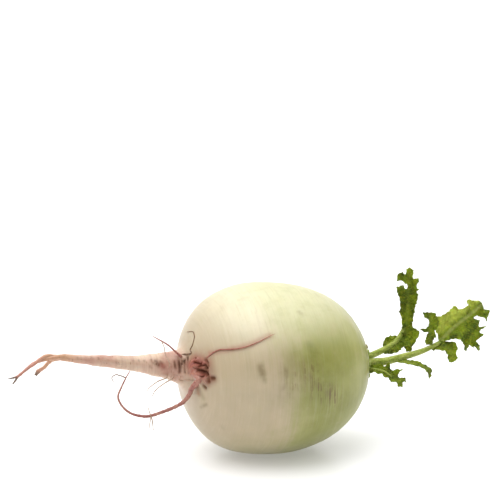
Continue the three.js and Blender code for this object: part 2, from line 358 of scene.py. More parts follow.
def set_range(node, low, high, to_low, to_high):
    """Sets the two ranges of a Map Range node."""
    for socket, number in (("From Min", low), ("From Max", high), ("To Min", to_low), ("To Max", to_high)):
        node.inputs[socket].default_value = number


class Finish:
    """A node material that is built up one line at a time."""

    SUBSURFACE_REACH = (1, 0.5, 0.25)

    def __init__(self, name):
        self.material = bpy.data.materials.new(name)
        self.material.use_nodes = True
        self.nodes = self.material.node_tree.nodes
        self.links = self.material.node_tree.links
        self.shader = self.nodes["Principled BSDF"]
        self.object_places = self.nodes.new("ShaderNodeTexCoord").outputs["Object"]

    def give(self, socket, value):
        """Sets a socket to a number or colour, or links it to another node's output."""
        if isinstance(value, bpy.types.NodeSocket):
            self.links.new(value, socket)
        elif isinstance(value, (tuple, list)) and len(value) == 3 and socket.type == "RGBA":
            socket.default_value = (*value, 1)
        else:
            socket.default_value = value

    def placed(self, scale, turn=(0, 0, 0)):
        """Places stretched and turned, to steer a pattern."""
        node = self.nodes.new("ShaderNodeMapping")
        node.inputs["Scale"].default_value = scale
        node.inputs["Rotation"].default_value = turn
        self.links.new(self.object_places, node.inputs["Vector"])
        return node.outputs["Vector"]

    def noise(self, scale, detail, roughness, places=None):
        """Smooth uneven patches, from 0 to 1, about as many to a metre as the scale says."""
        node = self.nodes.new("ShaderNodeTexNoise")
        node.inputs["Scale"].default_value = scale
        node.inputs["Detail"].default_value = detail
        node.inputs["Roughness"].default_value = roughness
        self.links.new(places or self.object_places, node.inputs["Vector"])
        return node.outputs["Fac"]

    def from_cell_edge(self, scale):
        """How far a place is from the edges of a net of small cells."""
        node = self.nodes.new("ShaderNodeTexVoronoi")
        node.feature = "DISTANCE_TO_EDGE"
        node.inputs["Scale"].default_value = scale
        self.links.new(self.object_places, node.inputs["Vector"])
        return node.outputs["Distance"]

    def attribute(self, name):
        """A value that is kept at the vertices."""
        node = self.nodes.new("ShaderNodeAttribute")
        node.attribute_name = name
        return node.outputs["Fac"]

    def math(self, operation, a, b=0.0):
        """One operation on one or two values."""
        node = self.nodes.new("ShaderNodeMath")
        node.operation = operation
        self.give(node.inputs[0], a)
        self.give(node.inputs[1], b)
        return node.outputs[0]

    def times(self, a, b):
        """One value times another."""
        return self.math("MULTIPLY", a, b)

    def plus(self, a, b):
        """The sum of two values."""
        return self.math("ADD", a, b)

    def minus(self, a, b):
        """One value less another."""
        return self.math("SUBTRACT", a, b)

    def range(self, value, low, high, to_low=0.0, to_high=1.0):
        """A value that lies from low to high, carried smoothly to the range from to_low to to_high."""
        node = self.nodes.new("ShaderNodeMapRange")
        node.interpolation_type = "SMOOTHSTEP"
        set_range(node, low, high, to_low, to_high)
        self.give(node.inputs["Value"], value)
        return node.outputs["Result"]

    def mix(self, factor, a, b):
        """Colour a turning into colour b as the factor rises."""
        node = self.nodes.new("ShaderNodeMix")
        node.data_type = "RGBA"
        self.give(node.inputs["Factor"], factor)
        self.give(node.inputs[6], a)
        self.give(node.inputs[7], b)
        return node.outputs[2]

    def split(self, places):
        """The X, Y and Z of places."""
        node = self.nodes.new("ShaderNodeSeparateXYZ")
        self.links.new(places, node.inputs[0])
        return node.outputs

    def uv(self):
        """The piece's own UV map."""
        return self.nodes.new("ShaderNodeUVMap").outputs["UV"]

    def bump(self, height, distance, strength, under=None):
        """Relief from a height, on top of the relief under it."""
        node = self.nodes.new("ShaderNodeBump")
        node.inputs["Distance"].default_value = distance
        node.inputs["Strength"].default_value = strength
        self.give(node.inputs["Height"], height)
        if under is not None:
            self.give(node.inputs["Normal"], under)
        return node.outputs["Normal"]

    def finish(self, colour, roughness, normal=None, subsurface=0.0, specular=0.5):
        """Gives the shader its sockets and returns the material."""
        self.give(self.shader.inputs["Base Color"], colour)
        self.give(self.shader.inputs["Roughness"], roughness)
        if normal is not None:
            self.give(self.shader.inputs["Normal"], normal)
        self.shader.inputs["Subsurface Weight"].default_value = subsurface
        self.shader.inputs["Subsurface Radius"].default_value = self.SUBSURFACE_REACH
        self.shader.inputs["Subsurface Scale"].default_value = 2 * MM
        self.give(self.shader.inputs["Specular IOR Level"], specular)
        return self.material


# ---------- the root: bulb, tap root and its two ends ----------

KNOT = on_bulb(22.5, 73)    # where old side roots have left a scarred lump
TAP_FOOT = (-50.2, -7, 52)  # where the tap root meets the bulb, on the side towards -Y
KNOT_SWELLING = ([KNOT, on_bulb(25, 80)], 5.5, -1.3)
KNOT_CREVICES = [
    bulb_mark([(19.2, 56), (20, 57.7)], 0.7, 0.6),
    bulb_mark([(18.2, 62), (20.9, 64.3), (23.5, 66.7)], 0.9, 1.0),
    bulb_mark([(23.5, 66.7), (25.5, 65.4)], 0.6, 0.7),
    bulb_mark([(23, 70), (28.2, 69.5), (29.4, 73)], 0.9, 1.1),
    bulb_mark([(21.6, 75.4), (25.2, 76), (28.2, 77.5), (29.6, 80)], 1.3, 1.6),
    bulb_mark([(25, 78), (28, 80)], 1.2, 0.8),
    bulb_mark([(28.6, 63.5), (30.4, 67), (30.8, 71)], 0.9, 0.45),
    bulb_mark([(24.8, 84.4), (27, 83)], 0.65, 1.0),
    bulb_mark([(33.6, 83.8), (35.5, 83.6)], 1.0, 0.7),
    bulb_mark([(31, 83), (31.6, 88)], 0.9, 0.5),
    bulb_mark([(27, 95.5), (28.5, 96.4)], 0.9, 0.6),
    bulb_mark([(29.5, 62.5), (30.5, 67)], 0.6, 0.5),
    bulb_mark([(17.5, 71), (20.5, 73)], 0.4, 0.5),
    bulb_mark([(30, 73), (30.5, 76.5)], 0.5, 0.6),
]
KNOT_RIDGES = [
    bulb_mark([(12, 68), (15.1, 60), (21.7, 60.7)], 0.8, -0.9),
    bulb_mark([(13, 77), (15.5, 69), (21.2, 69.5)], 0.8, -0.8),
    bulb_mark([(15.4, 83), (18.5, 80), (23, 80.5)], 1.1, -1.1),
    bulb_mark([(23, 72.5), (27.5, 73)], 0.6, -0.7),
    bulb_mark([(18, 86), (24, 87), (23.5, 93)], 1.3, -1.2),
    bulb_mark([(28.5, 80.5), (29.5, 88)], 0.8, -0.7),
]
BASE_WRINKLES = [
    ([(-53.9, -7.0, 54.4), (-53.8, -8.2, 51.0)], 0.55, 0.9),
    ([(-51.7, -6.8, 55.8), (-51.7, -8.6, 51), (-52.0, -8.6, 48.4)], 0.6, 1.2),
    ([(-50.3, -6.0, 57.4), (-50.3, -8.4, 53)], 0.5, 0.8),
    ([(-49.0, -7.8, 55.0), (-49.0, -9.4, 49.0)], 0.6, 1.1),
    ([(-47.4, -8.2, 56.4), (-47.3, -11, 49.0)], 0.6, 0.9),
    ([(-52.7, -7.6, 54.0), (-52.7, -8.3, 51.6)], 0.26, 0.3),
    ([(-46.4, -10.4, 55.0), (-46.2, -12.4, 50.4)], 0.4, 0.35),
]
TAP_SCAR = ([(-60.4, -6.0, 53.6), (-59.6, -6.2, 51.6)], 0.9, 0.25)
TAP_MARKS = [
    tap_mark([(-63.4, 56), (-62.8, 66), (-62.2, 75)], 0.9, 0.65),
    tap_mark([(-65.0, 64), (-64.0, 72)], 0.6, 0.4),
    tap_mark([(-60.9, 56), (-60.6, 68)], 0.6, 0.4),
    tap_mark([(-65.5, 48), (-65.2, 60)], 0.55, 0.45),
    tap_mark([(-69.2, 50), (-69.0, 58)], 0.5, 0.4),
    tap_mark([(-71.8, 46), (-71.6, 60)], 0.5, 0.45),
    tap_mark([(-74.6, 52), (-74.4, 62)], 0.5, 0.4),
    tap_mark([(-83.6, 76), (-83.2, 90)], 0.5, 0.35),
    tap_mark([(-92.8, 46), (-92.6, 62)], 0.5, 0.5),
    tap_mark([(-96.2, 44), (-95.8, 60)], 0.5, 0.5),
    tap_mark([(-103.6, 60), (-103.2, 80)], 0.5, 0.45),
]


def root_profile():
    """The outline that is spun into bulb and tap root, from the tap root's tip to the knob's top."""
    profile = [(TAP_TIP, 0.0), (TAP_TIP + 0.2, TAP_RADII[-1] * 0.7)]
    length = TAP_BASE[0] - TAP_TIP
    count = int(length / TAP_RING_STEP)
    for i in range(1, count):
        share = i / count
        profile.append((TAP_TIP + length * share, along(TAP_RADII, 1 - share)))
    flare_angle = math.asin((FLARE_RADIUS / BULB_RADIUS) ** (ROOT_BLUNTNESS / 2))
    flare_end = profile_at(flare_angle)
    for i in range(FILLET_RINGS):
        t = i / FILLET_RINGS
        corners = zip(TAP_BASE, FLARE_CORNER, flare_end)
        profile.append(tuple((1 - t) ** 2 * a + 2 * t * (1 - t) * b + t * t * c for a, b, c in corners))
    for i in range(BULB_RINGS + 1):
        x, radius = profile_at(flare_angle + (math.pi - flare_angle) * i / BULB_RINGS)
        if x > 0 and radius < CROWN_HOLLOW_RADIUS:
            break
        profile.append((x, radius))
    return profile + [(CROWN_FLOOR + rise, radius) for rise, radius in KNOB]


def spun_root():
    """Spins the outline round the axis, and turns and lifts the result to where the bulb lies."""
    outline = bpy.data.curves.new("outline", "CURVE")
    outline.dimensions = "3D"
    spline = outline.splines.new("POLY")
    profile = root_profile()
    spline.points.add(len(profile) - 1)
    for point, (x, radius) in zip(spline.points, profile):
        point.co = (x * MM, 0, radius * MM, 1)
    piece = mesh_from_curve("radish_root", outline)
    whole_turn = {"steps": ROUND_STEPS, "angle": 2 * math.pi, "center": (0, 0, 0), "axis": (1, 0, 0)}
    edit(piece, (bpy.ops.mesh.spin, whole_turn))
    close_up(piece)
    lie = Matrix.Translation((0, 0, BULB_HEIGHT * MM)) @ Matrix.Rotation(BULB_TILT, 4, "Y")
    piece.data.transform(lie)
    return piece


def bend_tap_root(piece):
    """Carries each ring of the tap root from the bulb's axis to the tap root's own line."""
    places = vertex_places(piece) / MM
    x = places[:, 0]
    middle_y, middle_z = tap_middle(x)
    axis_height = BULB_HEIGHT - x * math.tan(BULB_TILT)
    wander = WANDER * np.sin(x / WANDER_RUN) * smoothstep(-60, -80, x)
    share = smoothstep(-44.5, -51.5, x)
    places[:, 1] += (middle_y + wander) * share
    places[:, 2] += (middle_z - axis_height) * share
    move_vertices(piece, places * MM)


def roughen_root(piece):
    """Grows the unevenness of a real root: broad lumps, faint rings round the bulb, a knobbly tap root."""
    places = vertex_places(piece) / MM
    tap_share = smoothstep(-46, -54, places[:, 0])
    off_floor = smoothstep(0.5, 6, places[:, 2])
    lumps = noise_at(places, 34, seed=1) * 0.9 + noise_at(places, 15, seed=2) * 0.18
    rings = noise_at(places, 1.0, (0.45, 0.035, 0.035), seed=3) * 0.09
    knobs = noise_at(places, 6, (1.0, 0.7, 0.7), seed=4) * 0.42
    wrinkles = noise_at(places, 1.0, (0.9, 0.22, 0.22), seed=5) * 0.13
    push_out(piece, (lumps + rings) * off_floor * (1 - tap_share) + (knobs + wrinkles) * tap_share)


def tube(name, route, radii, spacing, knobbly, seed):
    """A round tapering strand along a route, closed at both ends. Sizes in millimetres."""
    line = evenly(curve_through(route), spacing)
    data = bpy.data.curves.new(name, "CURVE")
    data.dimensions = "3D"
    data.bevel_depth = MM
    data.bevel_resolution = TUBE_ROUNDNESS
    data.use_fill_caps = True
    spline = data.splines.new("POLY")
    spline.points.add(len(line) - 1)
    for i, (point, place) in enumerate(zip(spline.points, line)):
        share = i / (len(line) - 1)
        swell = 1 + knobbly * lumps_at(share * len(line) * 0.35, seed, 0)
        point.co = (*(place * MM), 1)
        point.radius = along(radii, share) * swell
    piece = mesh_from_curve(name, data)
    close_up(piece)
    smooth(piece)
    return piece


def twisted(route, radius, turns, phase):
    """A route that winds round another one."""
    line = evenly(curve_through(route), 1.5)
    wound = []
    for i, place in enumerate(line):
        share = i / (len(line) - 1)
        angle = phase + share * turns * 2 * math.pi
        reach = radius * math.sin(math.pi * min(1, share * 1.15 + 0.05)) ** 0.5
        wound.append(place + np.array([0, math.cos(angle), math.sin(angle)]) * reach)
    return wound


LONG_END = [
    (-104, 0, 58.8), (-112, 0, 60.2), (-118.2, -1, 61.0), (-122.5, -2, 60.4), (-127.9, -3, 57.8),
    (-133.0, -4, 54.6),
]
STRAND_REACH = 0.75         # from the middle of the long end to each of its two strands
STRAND_TURNS = 1.3
STRAND_START = 0.4
TAP_STRANDS = {             # route, radii, spacing of rings and knobbliness of each strand
    "strand_a": (
        twisted(LONG_END, STRAND_REACH, STRAND_TURNS, STRAND_START),
        [1.1, 1.35, 1.2, 1.0, 0.85, 0.7], 0.8, 0.3,
    ),
    "strand_b": (
        twisted(LONG_END, STRAND_REACH, STRAND_TURNS, STRAND_START + math.pi),
        [1.1, 1.3, 1.15, 0.95, 0.8, 0.6], 0.8, 0.3,
    ),
    "tip_a": (
        [(-132.4, -3.9, 55), (-135, -4.2, 53.6), (-137.4, -4.5, 53.1), (-139.6, -4.6, 53.0)],
        [0.75, 0.6, 0.45, 0.2], 0.5, 0.3,
    ),
    "tip_b": (
        [(-132.6, -4.0, 54.7), (-134.4, -4.1, 53.4), (-135.8, -4.2, 51.6), (-137.2, -4.2, 49.9)],
        [0.7, 0.6, 0.5, 0.35], 0.5, 0.3,
    ),
    "short_end": (
        [
            (-110, 0.4, 59.6), (-115.7, 1, 59.0), (-117.6, 2, 57.2), (-119.5, 3, 54.8), (-122.0, 4, 53.0),
            (-123.7, 4, 50.9),
        ],
        [1.0, 1.15, 1.1, 1.0, 1.0, 1.1, 0.8], 0.6, 0.35,
    ),
}


def tap_root_ends():
    """The strands that the tap root splits into."""
    strands = [tube(name, *strand, seed) for seed, (name, strand) in enumerate(TAP_STRANDS.items(), 1)]
    return join(strands, "tap_root_ends")


def make_root():
    """The whole grown root, carved and marked."""
    piece = spun_root()
    bend_tap_root(piece)
    for place, reach in ((KNOT, 12.5), (KNOT, 11), (TAP_FOOT, 7), (TAP_FOOT, 6)):
        edit_near(piece, Vector(place) * MM, reach * MM, bpy.ops.mesh.subdivide, number_cuts=1)
    paint_root(piece)
    carve(piece, [KNOT_SWELLING, TAP_SCAR] + KNOT_RIDGES + KNOT_CREVICES + BASE_WRINKLES)
    roughen_root(piece)
    floor_cut = {"plane_co": (0, 0, 0), "plane_no": (0, 0, 1), "use_fill": True, "clear_inner": True}
    edit(piece, (bpy.ops.mesh.bisect, floor_cut))
    smooth(piece)
    piece = join([piece, tap_root_ends()], "radish_root")
    piece.data.materials.clear()
    piece.data.materials.append(root_finish())
    return piece


# Colours of the root's skin.
CREAM, DULL_CREAM, CREAM_BAND = (0.52, 0.425, 0.28), (0.46, 0.38, 0.245), (0.43, 0.37, 0.22)
YELLOW_GREEN, OLIVE_GREEN, GREEN_BAND = (0.42, 0.42, 0.13), (0.30, 0.31, 0.075), (0.45, 0.43, 0.17)
# The deepest green is partly darker skin and partly painted shade; the underside green is painted shade.
DEEPEST_GREEN_AND_SHADE, UNDERSIDE_SHADE_GREEN = (0.20, 0.21, 0.035), (0.33, 0.325, 0.15)
# The first colour on the next line is a painted highlight for the bulb's top, the last is painted shade
# for its root end.
PAINTED_HIGHLIGHT_CREAM, TAN_MOTTLE, ROOT_END_SHADE_TAN = (0.79, 0.76, 0.53), (0.50, 0.42, 0.22), (0.43, 0.335, 0.225)
DARK_STREAK, LIGHT_STREAK, RUSSET_BROWN = (0.38, 0.33, 0.16), (0.84, 0.80, 0.56), (0.17, 0.11, 0.04)
TAP_PINK, TAP_DARK_PINK = (0.58, 0.36, 0.27), (0.47, 0.25, 0.185)
TAP_CREAM, TAP_DARK_CREAM = (0.68, 0.53, 0.39), (0.57, 0.40, 0.29)
TAP_END_TAN, LONG_END_PINK = (0.54, 0.30, 0.18), (0.50, 0.22, 0.16)
LONG_TIP_BROWN, SHORT_TIP_BROWN = (0.08, 0.05, 0.04), (0.17, 0.12, 0.08)
TAP_MOTTLE, TAP_DASH, TAP_STREAK = (0.40, 0.18, 0.12), (0.30, 0.14, 0.08), (0.40, 0.22, 0.15)
HALO_BROWN, BLUSH_PINK, STAIN_BROWN = (0.24, 0.11, 0.06), (0.38, 0.115, 0.085), (0.20, 0.15, 0.07)
# The second is the brown of scars, also used as painted shade in the crevices.
CROWN_BROWN, SCAR_AND_SHADE_BROWN = (0.30, 0.24, 0.09), (0.045, 0.014, 0.006)

# Strokes that are painted on it.
SOFT_SCARS = [
    bulb_mark([(21, 66), (28, 76)], 3.4, 0.35),
    ([(-52.2, -8, 54), (-47.5, -9.5, 52.5)], 1.8, 0.3),
]
STAINS = [
    bulb_mark([(68.7, 74), (69.8, 78.5)], 1.9, 0.75),
    bulb_mark([(70, 79), (71.5, 83.5)], 1.1, 0.5),
    bulb_mark([(83.4, 76), (83.6, 80.5)], 1.2, 0.65),
    bulb_mark([(83, 81), (82.3, 89)], 1.1, 0.45),
    bulb_mark([(94.6, 79), (95.2, 82)], 1.0, 0.6),
    bulb_mark([(98, 84), (99, 87)], 1.1, 0.5),
    bulb_mark([(105.5, 92), (106.5, 94)], 1.2, 0.55),
    bulb_mark([(110, 96), (111, 98)], 0.9, 0.4),
    bulb_mark([(93.5, 36), (94.5, 38)], 1.1, 0.45),
    bulb_mark([(48.5, 131), (49.5, 132.5)], 1.4, 0.4),
    bulb_mark([(31.5, 117.5), (29, 124), (27.6, 130)], 1.0, 0.6),
    bulb_mark([(22.5, 105), (27.6, 112)], 1.6, 0.35),
    bulb_mark([(85, 70), (84, 92)], 6.5, 0.22),
    bulb_mark([(90, 74), (92, 84)], 5.0, 0.2),
    bulb_mark([(149.5, 93.5), (150.5, 94.5)], 1.2, 0.8),
    bulb_mark([(128, 200), (131, 206)], 1.5, 0.5),
    bulb_mark([(75, 262), (79, 268)], 1.6, 0.5),
    bulb_mark([(62, 305), (60, 312)], 1.4, 0.4),
]
BLUSHES = [
    bulb_mark([(13, 66), (19, 63), (27, 69)], 3.6, 0.95),
    bulb_mark([(14, 78), (22, 82), (27, 80)], 3.6, 1.0),
    bulb_mark([(33, 57.5), (49, 59), (63, 58), (76, 53)], 1.5, 0.5),
    bulb_mark([(17.5, 82), (21.5, 86)], 1.7, 1.0),
    bulb_mark([(20, 97), (22, 110)], 1.8, 0.4),
    ([(-60, -6, 52.6), (-60, -6, 52.4)], 2.2, 0.8),
]
BROWN_HALOES = [
    bulb_mark([(18, 64), (27, 67), (28, 76)], 5.4, 1.0),
    bulb_mark([(32.5, 62), (33, 74)], 2.6, 0.4),
    bulb_mark([(29, 80), (34.5, 84), (30, 90)], 2.6, 1.0),
    bulb_mark([(27.5, 93), (28.3, 96.4)], 1.6, 0.8),
    ([(-60.6, -6.2, 53.8), (-59.4, -6.4, 51.6)], 1.1, 1.0),
    ([(-63.4, -6.0, 53.2), (-62.6, -6.2, 52.4)], 0.8, 0.7),
    ([(-66.8, -5.6, 53.0), (-66.2, -5.6, 52.0)], 0.6, 0.7),
    ([(-53.5, -7, 53), (-49.5, -8, 54), (-46.5, -10, 54)], 3.4, 0.5),
]
RUSSET = [
    bulb_mark([(95, 77), (99, 90)], 4.4, 0.8),
    bulb_mark([(100, 90), (112, 97)], 4.6, 1.0),
    bulb_mark([(86, 78), (88, 90)], 4.0, 0.45),
    bulb_mark([(118, 215), (112, 235)], 7.0, 0.7),
    bulb_mark([(96, 300), (101, 318)], 7.0, 0.6),
]
# Deep green patches, partly darker skin and partly painted shade on the front of the bulb.
DEEP_GREEN_AND_SHADE = [
    bulb_mark([(95.5, 62), (98, 66)], 4.6, 1.0),
    bulb_mark([(97, 70), (108, 82), (104, 94)], 13.0, 0.7),
    bulb_mark([(120, 104), (108, 122), (104, 138)], 15.0, 0.6),
    bulb_mark([(105, 200), (112, 230)], 14.0, 0.6),
    bulb_mark([(110, 310), (102, 330)], 12.0, 0.5),
]


def paint_root(piece):
    """Where the scars, stains, blushes and rough places are, with painted shade in the crevices and in the
    deep green patches.
    """
    creases = KNOT_CREVICES + BASE_WRINKLES
    # Painted shade: crevices and wrinkles are darker the deeper they are carved, on top of their scar
    # colour.
    crease_shade_and_scars = [(line, width * 1.15, min(0.9, 0.3 + deep * 0.55)) for line, width, deep in creases]
    paint(piece, "scar_and_shade", crease_shade_and_scars + SOFT_SCARS + TAP_MARKS)
    paint(piece, "stain", STAINS)
    paint(piece, "blush", BLUSHES)
    paint(piece, "halo", BROWN_HALOES)
    paint(piece, "russet", RUSSET)
    paint(piece, "deep_green_and_shade", DEEP_GREEN_AND_SHADE)


class SkinPatterns:
    """The places and uneven patterns that every colour of the root's skin is drawn with."""

    def __init__(self, skin):
        self.x, _, self.height = skin.split(skin.object_places)
        self.bands = skin.noise(1.0, 4, 0.6, skin.placed((420, 22, 22), (0, BULB_TILT, 0)))
        self.streaks = skin.noise(1.0, 3, 0.6, skin.placed((1150, 55, 55), (0, BULB_TILT, 0)))
        self.patches = skin.noise(38, 4, 0.6)
        self.mottle = skin.noise(120, 4, 0.65)
        self.grain = skin.noise(900, 3, 0.6)


def marked(skin, name, pattern, high, least):
    """The strength of painted strokes, broken up by a pattern down to a least share."""
    return skin.times(skin.attribute(name), skin.range(pattern, 0.3, high, least, 1.0))


def greening(skin, on):
    """How far the cream has turned green, along a slanting and uneven edge round the bulb."""
    above = skin.minus(on.height, BULB_MIDDLE)
    lean = skin.plus(skin.times(skin.math("ABSOLUTE", above), 0.22), skin.times(above, 0.12))
    drift = skin.plus(
        skin.times(skin.minus(on.bands, 0.5), 0.03), skin.times(skin.minus(on.patches, 0.5), 0.034),
    )
    return skin.range(skin.plus(skin.plus(on.x, lean), drift), -0.014, 0.019)


def bulb_colour(skin, on):
    """Cream turning to yellow-green, streaked, with a painted highlight on top and painted shade at the
    root end and below.
    """
    green_share = greening(skin, on)
    cream = skin.mix(skin.range(on.patches, 0.35, 0.65), CREAM, DULL_CREAM)
    cream = skin.mix(skin.range(on.bands, 0.5, 0.75, 0, 0.35), cream, CREAM_BAND)
    green = skin.mix(skin.range(on.patches, 0.3, 0.7), YELLOW_GREEN, OLIVE_GREEN)
    green = skin.mix(skin.range(on.bands, 0.48, 0.72, 0, 0.4), green, GREEN_BAND)
    body = skin.mix(green_share, cream, green)
    # Darker green patches that also carry painted shade.
    deep = marked(skin, "deep_green_and_shade", on.mottle, 0.6, 0.7)
    body = skin.mix(skin.times(deep, skin.range(green_share, 0, 1, 0.45, 1)), body, DEEPEST_GREEN_AND_SHADE)
    # Painted shade: the bulb turns darker and greener towards its bottom.
    body = skin.mix(skin.range(on.height, 0.024, 0.004, 0, 0.5), body, UNDERSIDE_SHADE_GREEN)
    # Painted highlight: pale cream on the top of the bulb, broken by the mottle.
    painted_highlight = skin.times(skin.range(on.height, 0.058, 0.084), skin.range(on.mottle, 0.2, 0.6, 0.7, 1.0))
    body = skin.mix(skin.times(painted_highlight, 0.6), body, PAINTED_HIGHLIGHT_CREAM)
    body = skin.mix(skin.range(on.mottle, 0.52, 0.8, 0, 0.3), body, TAN_MOTTLE)
    # Painted shade: the cream turns darker towards the root end.
    body = skin.mix(skin.range(on.x, -0.018, -0.045, 0, 0.55), body, ROOT_END_SHADE_TAN)
    body = skin.mix(skin.range(on.streaks, 0.5, 0.72, 0, 0.2), body, DARK_STREAK)
    body = skin.mix(skin.range(on.streaks, 0.48, 0.3, 0, 0.06), body, LIGHT_STREAK)
    russet = skin.times(skin.attribute("russet"), skin.range(on.streaks, 0.46, 0.6))
    russet = skin.times(russet, skin.range(skin.noise(300, 3, 0.6), 0.4, 0.56))
    return skin.mix(skin.times(russet, 0.95), body, RUSSET_BROWN)


def tap_colour(skin, on):
    """Pink and cream patches with dark dashes, browner towards the two ends."""
    pink = skin.mix(skin.range(on.mottle, 0.35, 0.65), TAP_PINK, TAP_DARK_PINK)
    cream = skin.mix(skin.range(on.bands, 0.4, 0.7), TAP_CREAM, TAP_DARK_CREAM)
    tap = skin.mix(skin.range(on.patches, 0.4, 0.62), cream, pink)
    tap = skin.mix(skin.range(on.x, -0.098, -0.112), tap, TAP_END_TAN)
    tap = skin.mix(skin.range(on.x, -0.118, -0.127), tap, LONG_END_PINK)
    tap = skin.mix(skin.range(on.x, -0.1345, -0.137), tap, LONG_TIP_BROWN)
    short_tip = skin.times(skin.range(on.x, -0.1205, -0.1235), skin.range(on.height, 0.0545, 0.0520))
    tap = skin.mix(short_tip, tap, SHORT_TIP_BROWN)
    tap = skin.mix(skin.range(on.mottle, 0.56, 0.7, 0, 0.5), tap, TAP_MOTTLE)
    dashes = skin.noise(1.0, 2, 0.5, skin.placed((1000, 330, 330), (0, 0.16, 0)))
    tap = skin.mix(skin.range(dashes, 0.63, 0.72, 0, 0.7), tap, TAP_DASH)
    return skin.mix(skin.range(on.streaks, 0.5, 0.7, 0, 0.3), tap, TAP_STREAK)


def root_finish():
    """Cream at the root end, yellow-green at the crown end, pink on the tap root, brown in the scars, with
    painted shade that darkens the deeper crevices.
    """
    skin = Finish("radish_skin")
    on = SkinPatterns(skin)
    body = skin.mix(skin.range(on.x, -0.0445, -0.053), bulb_colour(skin, on), tap_colour(skin, on))
    body = skin.mix(marked(skin, "halo", on.mottle, 0.6, 0.55), body, HALO_BROWN)
    body = skin.mix(marked(skin, "blush", on.mottle, 0.6, 0.6), body, BLUSH_PINK)
    body = skin.mix(marked(skin, "stain", on.mottle, 0.62, 0.35), body, STAIN_BROWN)
    body = skin.mix(skin.range(on.x, 0.0495, 0.0525, 0, 0.8), body, CROWN_BROWN)
    # Dark brown of scars and marks, with painted shade in the crevices.
    scar_and_shade = skin.times(skin.attribute("scar_and_shade"), skin.range(on.grain, 0.2, 0.5, 0.85, 1.0))
    body = skin.mix(scar_and_shade, body, SCAR_AND_SHADE_BROWN)

    rough = skin.plus(skin.range(on.patches, 0.3, 0.7, 0.3, 0.4), skin.times(scar_and_shade, 0.35))
    pores = skin.plus(skin.times(on.streaks, 0.7), skin.times(on.grain, 0.4))
    relief = skin.bump(pores, 0.10 * MM, 0.4)
    relief = skin.bump(on.mottle, 0.35 * MM, 0.3, under=relief)
    return skin.finish(body, rough, relief, subsurface=0.1, specular=skin.range(scar_and_shade, 0.1, 0.5, 0.5, 0.05))


# ---------- side roots and root hairs ----------

